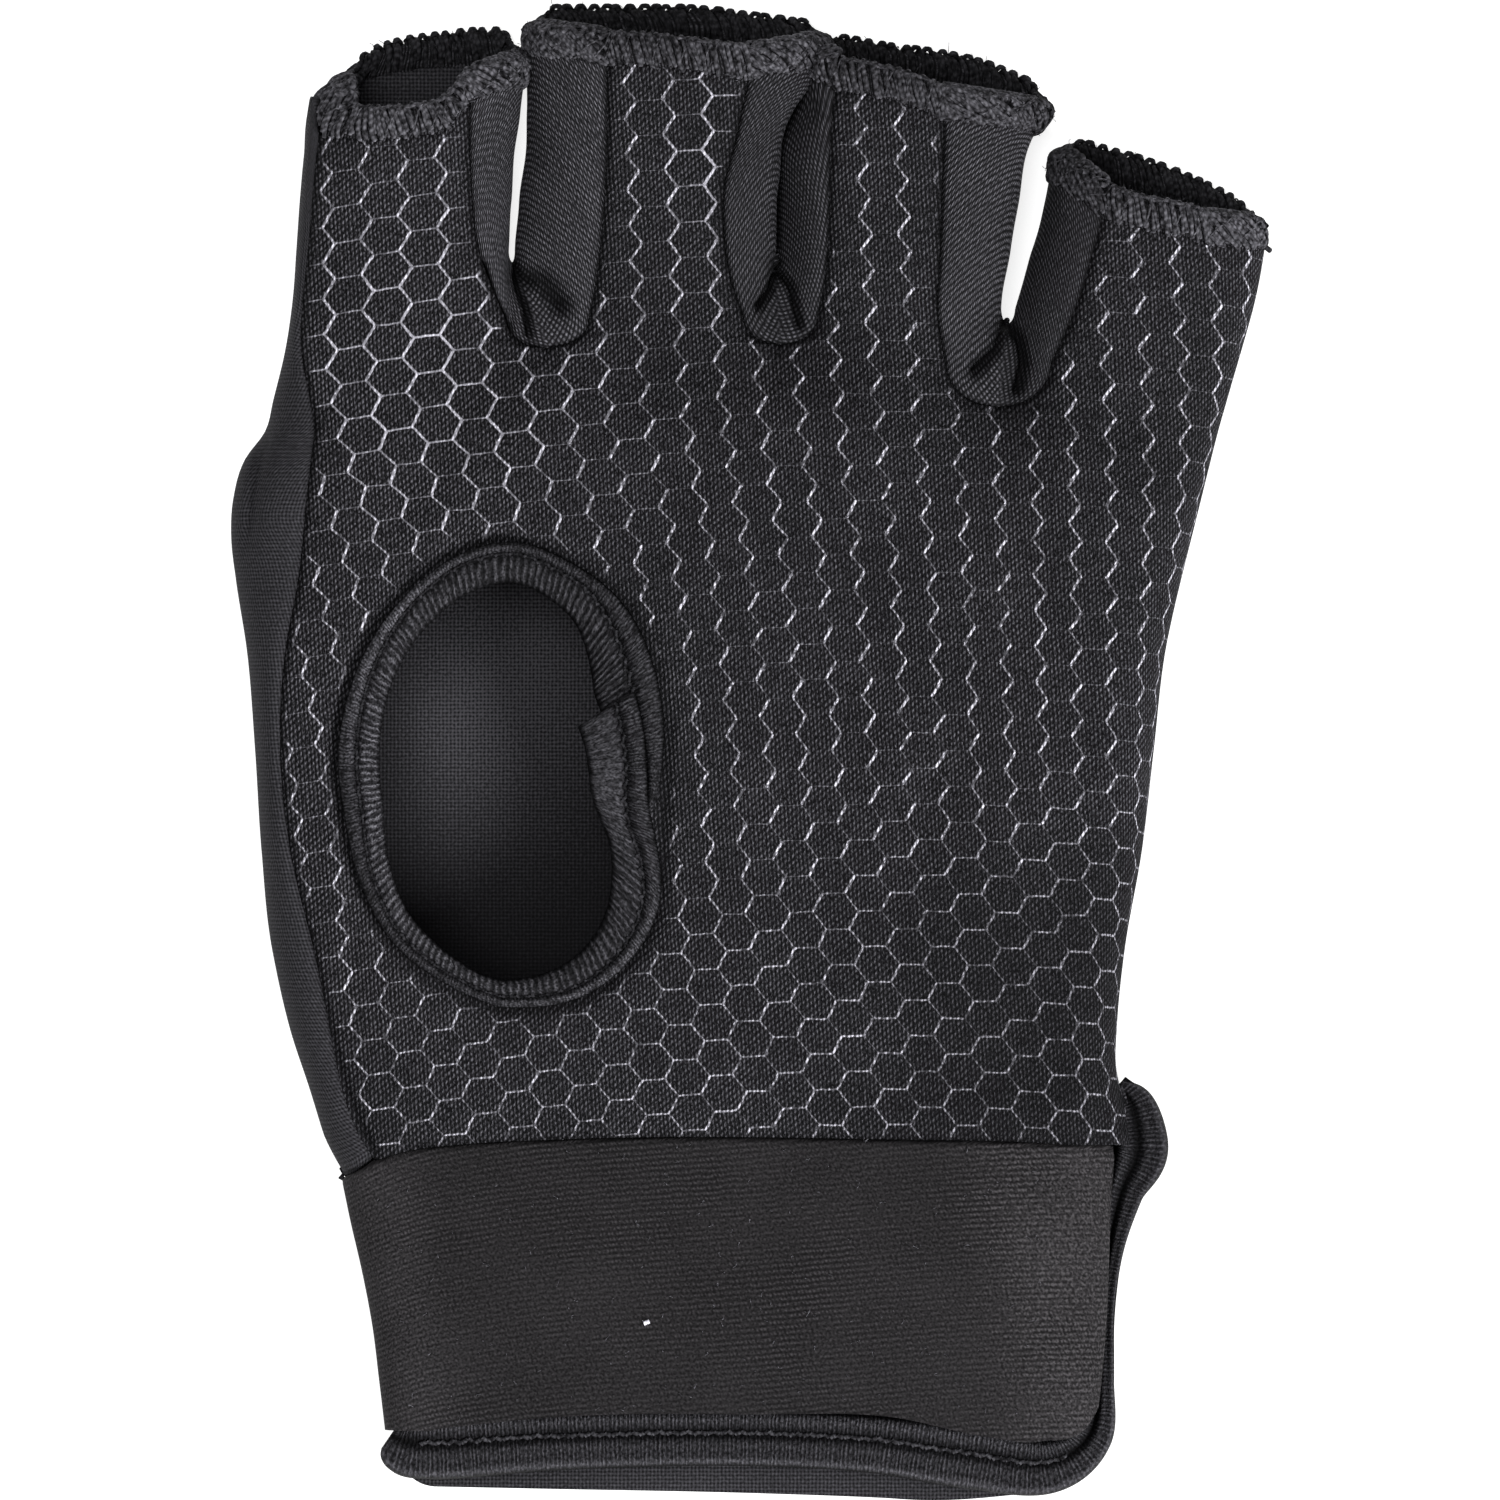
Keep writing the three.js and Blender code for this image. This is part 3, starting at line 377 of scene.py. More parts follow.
# %% Mesh and thread makers
def make_piece(name, parts, node, material, wall=0.0, maps=(), weld=0.02):
    """parts are (points, cloth) or (points, cloth, closed, ...): grids of points and of UV coordinates."""
    points, faces, uv, extra = [], [], [], {key: [] for key in maps}
    start = 0
    for part in parts:
        grid, cloth, closed, *more = (*part, False) if len(part) == 2 else part
        rows, columns = grid.shape[:2]
        r, c = np.meshgrid(np.arange(rows - 1), np.arange(columns - (not closed)), indexing="ij")
        d = (c + 1) % columns
        quads = np.stack([r * columns + c, r * columns + d, (r + 1) * columns + d, (r + 1) * columns + c], -1)
        faces.append(start + quads.reshape(-1, 4))
        points.append(grid.reshape(-1, 3))
        uv.append(cloth.reshape(-1, 2))
        for key, grid_uv in zip(maps, more):
            extra[key].append(grid_uv.reshape(-1, 2))
        start += rows * columns
    points, faces = np.concatenate(points) * 0.001, np.concatenate(faces)
    mesh = bpy.data.meshes.new(name)
    mesh.from_pydata(points.tolist(), [], faces.tolist())
    for key, values in {"Cloth": uv, **extra}.items():
        layer = mesh.uv_layers.new(name=key)
        layer.data.foreach_set("uv", np.concatenate(values)[faces.ravel()].astype(np.float32).ravel())
    mesh.polygons.foreach_set("use_smooth", np.ones(len(faces), bool))
    piece = bpy.data.objects.new(name, mesh)
    bpy.context.scene.collection.objects.link(piece)
    if weld:
        modifier = piece.modifiers.new("Weld", "WELD")
        modifier.merge_threshold = weld * 0.001
    if wall:
        modifier = piece.modifiers.new("Wall", "SOLIDIFY")
        modifier.thickness, modifier.offset = wall * 0.001, -1
        modifier.use_even_offset = False
    piece.data.materials.append(material)
    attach(piece, "root")
    if node:
        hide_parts(*([node] if isinstance(node, str) else node))
    print(f"{name}: {len(points)} points, {len(faces)} faces")
    return piece


def thread_piece(name, parts, material, node=None):
    return make_piece(name, parts, node, material, weld=0)


def read_all(items, name, size):
    """One attribute of all of a mesh's vertices or loops, as rows of an array."""
    values = np.empty(len(items) * size)
    items.foreach_get(name, values)
    return values.reshape(-1, size)


def unit(v):
    return v / np.maximum(np.linalg.norm(v, axis=-1, keepdims=True), 1e-9)


def lengths(points, axis=0):
    """Distance along lines of points, from 0 at their start."""
    steps = np.diff(points, axis=axis, prepend=np.take(points, [0], axis))
    return np.cumsum(np.linalg.norm(steps, axis=-1), axis)


def normals_of(grid, closed=False):
    if closed:
        across = np.roll(grid, -1, 1) - np.roll(grid, 1, 1)
    else:
        across = np.gradient(grid, axis=1)
    return unit(np.cross(across, np.gradient(grid, axis=0)))


def on_grid(grid, normal, row, column, lift, closed=False):
    """Points on a grid at fractional rows and columns, lifted along its normals."""
    rows, columns = grid.shape[:2]
    row = np.clip(row, 0, rows - 1.001)
    i = np.floor(row).astype(int)
    if closed:
        column = np.mod(column, columns)
    else:
        column = np.clip(column, 0, columns - 1.001)
    j = np.floor(column).astype(int) % columns
    k = (j + 1) % columns
    s, t = (row - i)[..., None], (column - np.floor(column))[..., None]

    def read(values):
        return lerp(lerp(values[i, j], values[i, k], t), lerp(values[i + 1, j], values[i + 1, k], t), s)

    out = unit(read(normal))
    return read(grid) + out * np.asarray(lift)[..., None], out


def thread_parts(paths, outs, radius, sides=5):
    """Round threads along many paths at once, as one grid part. paths and outs are (threads, points, 3)."""
    forward = unit(np.gradient(paths, axis=1))
    side = unit(np.cross(forward, outs))
    up = np.cross(side, forward)
    angles = np.arange(sides) * 2 * np.pi / sides
    radius = np.broadcast_to(radius, paths.shape[:2])[..., None, None]
    ring = side[:, :, None] * np.cos(angles)[:, None] + up[:, :, None] * np.sin(angles)[:, None]
    tubes = paths[:, :, None] + radius * ring
    cloth = np.stack(np.broadcast_arrays(lengths(paths, 1)[..., None], angles), -1)
    return [(tube, c, True) for tube, c in zip(tubes, cloth)]


# %% [markdown]
# ## Shader maths written as expressions
#
# A woven surface needs dozens of small sums, and nodes placed one by one are hard to read. This class wraps
# one output socket and overloads the operators, so `a * 2 + b` builds the Math nodes it stands for. Every
# other node comes from one method that takes its type, its settings and its inputs.


# %% A small language for shader nodes
class Flow:
    """The output of a node, with operators that add Math nodes behind it."""

    def __init__(self, shop, socket):
        self.shop, self.socket = shop, socket

    def math(self, operation, *others):
        return self.shop.node("ShaderNodeMath", {"operation": operation}, dict(enumerate((self, *others))))

    def __add__(self, other):
        return self.math("ADD", other)

    def __sub__(self, other):
        return self.math("SUBTRACT", other)

    def __mul__(self, other):
        return self.math("MULTIPLY", other)

    def __truediv__(self, other):
        return self.math("DIVIDE", other)

    def __pow__(self, other):
        return self.math("POWER", other)

    def __gt__(self, other):
        return self.math("GREATER_THAN", other)

    def __lt__(self, other):
        return self.math("LESS_THAN", other)

    def __rsub__(self, other):
        return self.math("MULTIPLY", -1) + other

    __radd__, __rmul__ = __add__, __mul__

    def eased(self, low, high):
        sockets = {"Value": self, "From Min": low, "From Max": high}
        return self.shop.node("ShaderNodeMapRange", {"interpolation_type": "SMOOTHSTEP"}, sockets)

    def hump(self, width):
        share = self / width
        return (share * share * -1).math("EXPONENT")

    def wave(self, pitch):
        """A cosine from 0 to 1 with one crest every pitch."""
        return (self * (2 * np.pi / pitch)).math("COSINE") * 0.5 + 0.5


class Shop:
    """A material whose nodes are made by expressions."""

    def __init__(self, name, roughness=0.8, specular=0.06):
        self.material = bpy.data.materials.new(name)
        self.material.use_nodes = True
        self.tree = self.material.node_tree
        self.surface = self.tree.nodes["Principled BSDF"]
        self.surface.inputs["Roughness"].default_value = roughness
        self.surface.inputs["Specular IOR Level"].default_value = specular

    def node(self, kind, settings=None, sockets=None, output=0):
        made = self.tree.nodes.new(kind)
        for name, value in (settings or {}).items():
            setattr(made, name, value)
        for name, value in (sockets or {}).items():
            self.feed(made.inputs[name], value)
        return Flow(self, made.outputs[output])

    def feed(self, socket, value):
        if isinstance(value, Flow):
            self.tree.links.new(value.socket, socket)
        else:
            socket.default_value = value

    def cloth(self, name="Cloth"):
        """The two cloth coordinates, in millimetres."""
        place = self.node("ShaderNodeUVMap", {"uv_map": name})
        split = self.node("ShaderNodeSeparateXYZ", None, {"Vector": place})
        return split, Flow(self, split.socket.node.outputs[1])

    def point(self, u, v, w=0.0):
        return self.node("ShaderNodeCombineXYZ", None, {"X": u, "Y": v, "Z": w})

    def noise(self, u, v, size, detail=2.0, w=0.0):
        sockets = {"Vector": self.point(u, v, w), "Scale": 1 / size, "Detail": detail}
        return self.node("ShaderNodeTexNoise", None, sockets)

    def ribs(self, u, v, pitch, direction):
        """Ribs that follow one another in a direction, in degrees from the u axis towards the v axis."""
        angle = np.radians(direction)
        return (u * float(np.cos(angle)) + v * float(np.sin(angle))).wave(pitch)

    def mix(self, share, a, b):
        sockets = {"Factor": share, 6: a, 7: b}
        return self.node("ShaderNodeMix", {"data_type": "RGBA"}, sockets, output=2)

    def bump(self, height, millimetres, strength=1.0):
        sockets = {"Height": height, "Distance": millimetres * 0.001, "Strength": strength}
        self.feed(self.surface.inputs["Normal"], self.node("ShaderNodeBump", None, sockets))

    def colour(self, value):
        self.feed(self.surface.inputs["Base Color"], value)

    def dyed(self, share, dark, light, height, depth, tint=(0.98, 1.1)):
        """Finish a dyed cloth: a share from 0 to 1 between two greys, and bumps up to depth in mm."""
        self.colour(self.mix(share, grey(dark, *tint), grey(light, *tint)))
        self.bump(height, depth)
        return self.material


def grey(value, green=0.98, blue=1.1):
    """The colour of dyed black cloth at a linear brightness: slightly blue, or plum where green is less."""
    return (value, value * green, value * blue, 1.0)


# %% [markdown]
# ## The printed knit
#
# The palm is a knit: columns of small slanting stitches. Its print is a honeycomb of flat-topped cells, drawn
# with the usual trick of two interleaved lattices, where the nearer lattice point owns the cell. The print
# only sits on the tops of the stitches, so its lines break up into dashes. It is also worn: whole cells are
# left near the first finger, in most of the palm only the sides that rise to the right, and near the cuff the
# level ones.

# %% The knit's stitches and the honeycomb
WALE, STITCH, SLANT = 0.43, 0.56, -49.0  # distance of the knit's columns and of its slanting stitches
ROOT3 = 1.7320


def stitches(shop, u, v):
    """Height of the knit's slanting stitches, from 0 in the gaps to 1 on top of the yarn."""
    column = shop.ribs(u, v, WALE, 4.0)
    return ((shop.ribs(u, v, STITCH, SLANT) * 0.8 + 0.2) * (column * 0.9 + 0.1)) ** 1.25


def honeycomb(x, y):
    """Of the cell at a place: how far the place is from its middle, 0.5 being the edge, then 1 where that
    edge is level, and 1 where it rises to the right."""
    cells = []
    for shift in (0.0, 0.5):
        a = ((x / ROOT3 + shift).math("FRACT") - 0.5) * ROOT3
        b = (y + shift).math("FRACT") - 0.5
        level, slope = b.math("ABSOLUTE"), b.math("ABSOLUTE") * 0.5 + a.math("ABSOLUTE") * (ROOT3 / 2)
        cells.append((level.math("MAXIMUM", slope), level > slope, (a * b) < 0))
    near, far = cells
    second = far[0] < near[0]
    return [lerp(one, two, second) for one, two in zip(near, far)]


def print_light(shop, u, v, level, rising):
    """How much of the print is left: where cells are whole, and how bright this side of the cell is."""

    def spot(x, y, width, height):
        return (u - x).hump(width) * (v - y).hump(height)

    patchy = shop.noise(u, v, 4.0, 2.0, 9.0).eased(0.35, 0.6) * 0.6 + 0.4
    whole = (spot(-36, 43, 17, 17) * 0.9 + spot(-4, 64, 5, 13) * 0.7) * patchy
    low = (v * -1 + u * 0.25).eased(8, 26)
    side = (u - v * 0.2).eased(38, 46) + (v * -0.1 - u).eased(42, 50) * 0.8
    wander = shop.noise(u, v, 12.0, 2.0, 3.0)
    of_level = whole * 0.8 + low * 0.5 + wander.eased(0.45, 0.75) * 0.2 + side * 0.2 + 0.03
    of_rising = wander.eased(0.2, 0.6) * 0.4 + 0.65 + side * 0.1 - low * 0.35
    of_falling = whole * 0.7 + side * 0.4 + wander.eased(0.7, 0.35) * 0.4 + 0.14
    return whole, lerp(lerp(of_falling, of_rising, rising), of_level, level).math("MINIMUM", 1.0)


# %% The printed knit
def knit_with_print():
    shop = Shop("printed_knit", specular=0.04)
    u, v = shop.cloth()
    seam, _ = shop.cloth("Seam")
    wobble = shop.noise(u, v, 1.4) - 0.5
    yarn = stitches(shop, u + wobble * 0.2, v + wobble * 0.2)
    patch = shop.noise(u, v, 12.0, 3.0)
    fibre = shop.noise(u * 2.2, v, 0.32, 3.0, 2.0)
    # painted shade darkens the knit and its print towards the palm's lower right, and painted light brightens
    # them towards its upper left
    painted_light_and_shade = 1 - u.eased(0, 28) * (v * -1).eased(2, 22) * 0.45
    painted_light_and_shade = painted_light_and_shade * ((u * -1).eased(5, 40) * v.eased(-34, -12) * 0.32 + 1.07)
    base = shop.mix(yarn * fibre.eased(0.33, 0.7) * (patch * 0.9 + 0.5) * painted_light_and_shade, grey(0.003), grey(0.15))

    p, q = shop.cloth("Print")
    x = (p + (shop.noise(u, v, 3.0) - 0.5) * 0.09) * (ROOT3 / 2)
    y = q + (shop.noise(u, v, 3.0, 2.0, 7.0) - 0.5) * 0.09
    reach, level, rising = honeycomb(x, y)
    whole, lit = print_light(shop, u, v, level, rising)
    frayed = (shop.noise(u, v, 0.5, 2.0, 11.0) - 0.5) * 0.03
    line = 1 - ((0.5 - reach + frayed) / (lit * 0.5 + 0.5)).eased(0.016, 0.046)
    worn = shop.noise(u, v, 0.6, 2.0, 5.0).eased(0.34, 0.6)
    solid = whole.math("MINIMUM", 1.0) * 0.5 + 0.06
    dashes = solid + (1 - solid) * (yarn.eased(0.02, 0.4) * 1.1 + 0.12) * worn
    ink = line * lit * dashes * seam.eased(0.3, 1.2) * painted_light_and_shade.math("MINIMUM", 1.0)
    # painted shade along the seams and round the thumb tape
    shade = 1 - seam.hump(0.5) * 0.6
    shop.colour(shop.mix(shade, grey(0.002), shop.mix(ink, base, grey(0.75))))
    shop.feed(shop.surface.inputs["Roughness"], 0.85 - ink * 0.35)
    shop.bump(yarn + line * 0.4 + fibre * 0.8, 0.12)
    return shop.material


printed_knit = knit_with_print()
print("nodes of the printed knit:", len(printed_knit.node_tree.nodes))

# %% [markdown]
# ## The plain cloths, tapes and threads
#
# The gussets are a ribbed lycra, the back a smooth jersey, and the cuff is ribbed. Each is two crossing waves
# that shade the colour and raise the surface, mottled by noise so that no rib is quite like the next. Painted
# shade lies along the gussets' seams and in their creases, and on the back where it is seen through the thumb
# hole; the cuff has a painted sheen. The two tapes are ribbed across their length, with painted light and
# shade where they fold and roll.


# %% Ribbed cloth and jersey
def ribbed(
    name, ribs, far_ribs=None, light=0.1, far_painted_shade=0.0, cross=0.6, depth=0.1, seam=0.0, bright=None, even=0.2,
    tint=(0.98, 1.1),
):
    """Cloth with two crossing sets of ribs, (pitch, direction, pitch, direction), and for a gusset two others
    beyond its middle, which painted shade darkens there by far_painted_shade. seam is how far painted shade
    reaches in from its first edge, and with it the creases get painted shade too; bright is where along u a
    sheen with glints is painted, with painted light along the left edge as well; and even how much of it
    shows its ribs only faintly."""
    shop = Shop(name)
    u, v = shop.cloth()
    wobble = (shop.noise(u, v, 2.0) - 0.5) * 0.3
    moved = u + wobble, v + wobble

    def crossing(pitch, direction, other_pitch, other_direction):
        first = shop.ribs(*moved, pitch, direction)
        return first * (shop.ribs(*moved, other_pitch, other_direction) * cross + (1 - cross))

    height = crossing(*ribs)
    if far_ribs:
        height = lerp(height, crossing(*far_ribs), v.eased(0.4, -0.4))
        crease, _ = shop.cloth("Crease")
    calm = (shop.noise(u, v, 11.0, 2.0, 6.0).eased(0.3, 0.6) * 0.4 + 0.6) * even
    height = lerp(height, 0.42, calm)
    speck = shop.noise(u, v, 0.3, 3.0)
    mottle = speck.eased(0.32, 0.68) * 1.1 + shop.noise(u, v, 9.0) * 0.5
    # painted shade on the gusset's far side, which faces away from the key lamp
    if far_painted_shade:
        mottle = mottle * (1 - v.eased(0.4, -0.4) * far_painted_shade)
    # painted shade along the seam edge and in the creases
    if seam:
        mottle = mottle * (u.eased(0.0, seam) * 0.6 + 0.4) * (1 - crease * 0.85)
    # painted sheen with glints towards the right end along u, and painted light along the left edge
    if bright:
        glints = shop.noise(u, v, 0.45, 2.0, 4.0).eased(0.42, 0.72) * 2.2 + 0.35
        mottle = mottle * (u.eased(*bright) * glints + u.eased(17.0, 6.0) * 0.8 + 1)
    return shop.dyed(height**1.4 * mottle, 0.003, light * 1.35, height + speck * 0.5, depth, tint)


def grid_weave(name, painted_hole_shade=False):
    """Smooth jersey that shows a fine square grid from near. Where it is seen through the thumb hole, it gets
    painted light on a patch a little above the hole's middle and painted shade away from it, darkest towards
    the hole's lower right."""
    shop = Shop(name)
    u, v = shop.cloth()
    wobble = (shop.noise(u, v, 1.5) - 0.5) * 0.15
    height = (u + wobble).wave(0.414) * 0.5 + (v + wobble).wave(0.43) * 0.5
    mottle = shop.noise(u, v, 0.3, 3.0).eased(0.2, 0.8) + shop.noise(u, v, 14.0) * 0.5
    if painted_hole_shade:
        # painted light on a patch above the hole's middle, painted shade round it, kept off the thumb-side
        # strip and the fingers
        lit = (u + 27).hump(14) * (v - 7).hump(18) * 1.6 + 0.15
        mottle = mottle * lerp(1, lit, u.eased(-46, -41) * v.eased(45, 30))
    return shop.dyed(height * mottle, 0.004, 0.058, height + shop.noise(u, v, 0.3) * 0.4, 0.05)


jersey = grid_weave("jersey")
back_jersey = grid_weave("back_jersey", painted_hole_shade=True)
# The second number of each gusset is painted shade on its far side, which faces away from the key lamp.
LYCRA = {  # of each gusset: light and far_painted_shade, then pitch and direction of its ribs and of those crossing them
    "index_middle": (0.14, 0.0, (0.56, -97, 0.47, -12), (0.49, -136, 0.57, -66)),
    "middle_ring": (0.1, 0.0, (0.58, -117, 0.51, -22), (0.48, -10, 0.6, -75)),
    "ring_little": (0.125, 0.4, (0.57, -122, 0.47, -49), (0.53, -78, 0.43, -161)),
}
lycras = {
    name: ribbed("lycra_" + name, near, far, light, far_painted_shade, cross=0.9, depth=0.07, seam=0.8)
    for name, (light, far_painted_shade, near, far) in LYCRA.items()
}
# the cuff gets a painted sheen with glints at its right end and painted light at its left edge
cuff_rib = ribbed(
    "cuff_rib", (0.616, 90, 0.425, 12), light=0.044, depth=0.05, tint=(0.94, 1.0), bright=(69, 82), even=0.75
)
hem_core = ribbed("hem_core", (0.5, 12, 1.3, 80), light=0.05)
print("cloths:", [m.name for m in (jersey, back_jersey, cuff_rib, hem_core, *lycras.values())])

# %% Folded tapes
TAPE_RIB = 0.88  # distance of the thumb tape's broad ribs


def folded_tape(name):
    """Tape round the thumb hole: v runs from 0 at its outer edge over the groove, at 4, to 10 inside, where
    the cloth is gathered into broad ribs. The lap at the start is laid smoother. The roll gets painted light at
    two places along u, and the ribs inside get it between them; the groove and both edges get painted shade."""
    shop = Shop(name, roughness=0.75)
    u, v = shop.cloth()
    inner = v.eased(4.0, 4.8)
    gathered = u.eased(12.0, 26.0) * 0.7 + 0.3
    bent = u + (shop.noise(u, v * 0.5, 1.1) - 0.5) * 1.0
    broad = (bent.wave(TAPE_RIB) * 0.75 + 0.2) * gathered + (1 - gathered) * 0.6
    rib = lerp(bent.wave(TAPE_RIB / 2) * 0.6 + 0.3, broad, inner)
    fibre = shop.noise(u, v * 0.45, 0.26, 3.0)
    rib = rib * (shop.noise(u, v * 0.45, 0.8, 2.0, 3.0).eased(0.25, 0.6) * 0.7 + 0.3)
    # painted shade in the groove and at both edges, and painted light on the roll and the inner ribs at places
    # along u
    groove = 1 - (v - 4.1).hump(0.7) * 0.75
    edges = v.eased(0.0, 0.6) * v.eased(10.0, 8.8) * 0.7 + 0.3
    facing_in = (u - 76).hump(24) * 0.6 + (u - 12).hump(12) * 0.3 + 0.4
    facing_out = (u - 97).hump(12) * 0.8 + (u - 36).hump(13) * 0.35 + 0.4
    lit = lerp(facing_out, facing_in, inner)
    shade = (rib**1.5 * 0.95 + 0.06) * (fibre.eased(0.3, 0.7) * 1.1 + 0.1) * groove * edges * lit
    return shop.dyed(shade, 0.002, 0.18, rib + fibre * 0.9, 0.1)


def bound_tape(name):
    """Tape round the cuff's edge: v runs from 0, next to the cuff, over a roll and the stitched groove, at 3,
    to the pressed fold at 7. The roll and the fold get painted highlights, the groove and both edges painted
    shade; beyond the corner, up the right side, it is darker."""
    shop = Shop(name, roughness=0.75)
    u, v = shop.cloth()
    bent = u + (shop.noise(u, v * 0.3, 1.2) - 0.5) * 0.5
    rib = shop.ribs(bent, v, 0.477, 0) * (shop.ribs(bent, v, 0.366, 0) * 0.6 + 0.4)
    fibre = shop.noise(u, v * 0.6, 0.26, 3.0).eased(0.3, 0.7)
    # painted highlights on the fold and the roll, painted shade in the groove and at both edges
    fold = (v - 6.35).hump(0.3) * 0.9
    groove = 1 - (v - 3.0).hump(0.7) * 0.95
    roll = (v - 0.9).hump(0.6) * 0.8 + v.eased(0.0, 0.8) * v.eased(7.0, 6.5) * 0.6 + 0.1
    shade = (rib * 0.8 + 0.15) * (fibre * 1.1 + 0.15) * groove * roll + fold * (fibre * 0.3 + 0.15)
    return shop.dyed(shade * (1 - u.eased(80, 90) * 0.3), 0.002, 0.11, rib + fibre, 0.1)


thumb_rib = folded_tape("thumb_tape_rib")
tape_rib = bound_tape("cuff_tape_rib")
print("tapes:", thumb_rib.name, tape_rib.name)


# %% Threads
def thread(name, dark=0.005, light=0.05, shaded=0.0, dim=()):
    """Spun thread. shaded is how much painted shade darkens it where it lies low, inside the sleeves; dim has
    rows (x, width, share).
    """
    shop = Shop(name)
    u, v = shop.cloth()
    place = shop.node("ShaderNodeTexCoord", output=3)
    spot = shop.node("ShaderNodeTexNoise", None, {"Vector": place, "Scale": 1600.0, "Detail": 3.0})
    across = shop.node("ShaderNodeSeparateXYZ", None, {"Vector": place})
    height = Flow(shop, across.socket.node.outputs[2])
    twist = (u * 9.0 + v).math("SINE") * 0.5 + 0.5
    # painted shade on thread that lies low, inside the sleeves
    lit = spot.eased(0.25, 0.75) * (twist * 0.6 + 0.4) * (height.eased(0.002, 0.009) * shaded + (1 - shaded))
    for x, width, share in dim:
        lit = lit * (1 - (across - x * 0.001).hump(width * 0.001) * share)
    return shop.dyed(lit, dark, light, twist + spot, 0.05)


black_thread = thread("black_thread")
hem_thread = thread("hem_thread", 0.003, 0.165, 0.75, ((16, 8, 0.4), (36, 6, 0.45), (-12, 9, 0.35)))
edge_thread = thread("edge_thread", 0.004, 0.09)
lint_thread = thread("lint_thread", 0.03, 0.3)
pale_lint = thread("pale_lint", 0.6, 1.0)
print("threads:", [m.name for m in (black_thread, hem_thread, edge_thread, lint_thread, pale_lint)])

# %% [markdown]
# ## The palm panel
#
# Four strips, one under each finger, share their borders below the slits and part above them. The right
# strip goes on over the rounded side. The panel sinks a little at its seams, as sewn cloth does, and puckers
# there. The thumb hole is cut by leaving out the faces inside it; the tape covers the raw edge.

# %% The thumb hole's outline, and the print's coordinates
THUMB_MIDDLE = np.array([-27.15, -2.55])
THUMB = Table(  # distance of the tape's outer edge from the middle, by angle
    "angle radius",
    (-90, 25.6),
    (-69, 25.9),
    (-56, 24.9),
    (-42, 22.9),
    (-27, 19.7),
    (0, 17.8),
    (18, 18.6),
    (36, 20.5),
    (56, 23.0),
    (72, 24.3),
    (87, 25.3),
    (100, 24.4),
    (115, 22.5),
    (137, 20.1),
    (154, 18.8),
    (175, 18.0),
    (197, 17.9),
    (218, 19.6),
    (239, 22.2),
    (254, 23.7),
    (270, 25.6),
)


def thumb_radius(angle):
    return THUMB.at("radius", np.mod(angle + 90, 360) - 90)


def past_thumb_tape(x, y):
    """Distance outwards from the tape's outer edge."""
    away = np.stack([x, y], -1) - THUMB_MIDDLE
    angle = np.degrees(np.arctan2(away[..., 1], away[..., 0]))
    return np.hypot(away[..., 0], away[..., 1]) - thumb_radius(angle)


PRINT_AXIS = Table(  # where the print's middle column runs, and how far its columns stand apart
    "y x spacing",
    (-46, 16.9, 3.75),
    (-36, 15.7, 3.75),
    (-25, 14.1, 3.75),
    (-11, 12.3, 3.72),
    (5.5, 11.0, 3.8),
    (21, 9.7, 3.98),
    (35, 7.9, 4.2),
    (60, 6.2, 4.2),
    (82, 5.4, 4.2),
)
PRINT_ROW, PRINT_ARC, PRINT_ARC_X = 3.9, 0.0027, 15.4


def print_coordinates(x, y):
    """Honeycomb column and row at a place: the columns fan out a little and the rows sag in an arc."""
    column = (x - PRINT_AXIS.at("x", y)) / PRINT_AXIS.at("spacing", y)
    row = (y + 0.5 * PRINT_ARC * (x - PRINT_ARC_X) ** 2) / PRINT_ROW
    return np.stack([column, row], -1)


print("radii of the thumb's tape, mm:", [round(float(thumb_radius(a)), 1) for a in (0, 90, 180, 270)])

# %% Strips of a panel, and the cut hole
FINE = 1
HAND_STEPS, FINGER_STEPS, STRIP_STEPS, WRAP_STEPS = 112 // FINE, 52 // FINE, 52 // FINE, 16 // FINE
way_up = np.concatenate([np.linspace(-1, 0, HAND_STEPS + 1), np.linspace(0, 1, FINGER_STEPS + 1)[1:]])


def panel_strip(finger, level, ways, steps=STRIP_STEPS):
    """Plan points of one finger's strip of a panel, in rows of ways, bent at the top to follow the rim.

    The columns crowd towards both edges, where the seams are. Rows near the slits' bottoms run level into
    their right edge, so that no row crosses the next.
    """
    left, right = border(finger, "left", level, ways), border(finger, "right", level, ways)
    even = np.linspace(0, 1, steps + 1)
    t = lerp(even, (1 - np.cos(np.pi * even)) / 2, 0.75)[None, :, None]
    plan = lerp(left[:, None], right[:, None], t)
    across = t[0, :, 0]
    level_ends = lerp(1 - (1 - across) ** 1.7, across, 1 - np.exp(-8 * np.abs(ways))[:, None])
    plan[..., 1] = lerp(left[:, 1:], right[:, 1:], level_ends)
    top_y = RIMS[finger].at("palm" if level == "palm" else "back", across)
    straight = lerp(top_y[0], top_y[-1], across)
    plan[..., 1] += np.clip(ways, 0, 1)[:, None] ** 2 * (top_y - straight)
    plan[..., 1] += CUFF_SEAM.at("shift", plan[..., 0]) * eased(-0.75, -1, ways)[:, None]
    return plan


def from_seam(finger, plan, ways):
    """Distance of every point of a strip from the nearest sewn slit edge."""
    distance = np.full(plan.shape[:2], 99.0)
    for hand, column in (("left", 0), ("right", -1)):
        slit = slit_beside(finger, hand)
        if slit:
            x, bottom = slit_mouth(slit, "palm")[:2]
            to_bottom = np.hypot(plan[..., 0] - x, plan[..., 1] - bottom)
            to_edge = np.abs(plan[..., 0] - plan[:, column, 0][:, None])
            distance = np.minimum(distance, np.where(ways[:, None] > 0, to_edge, to_bottom))
    return distance


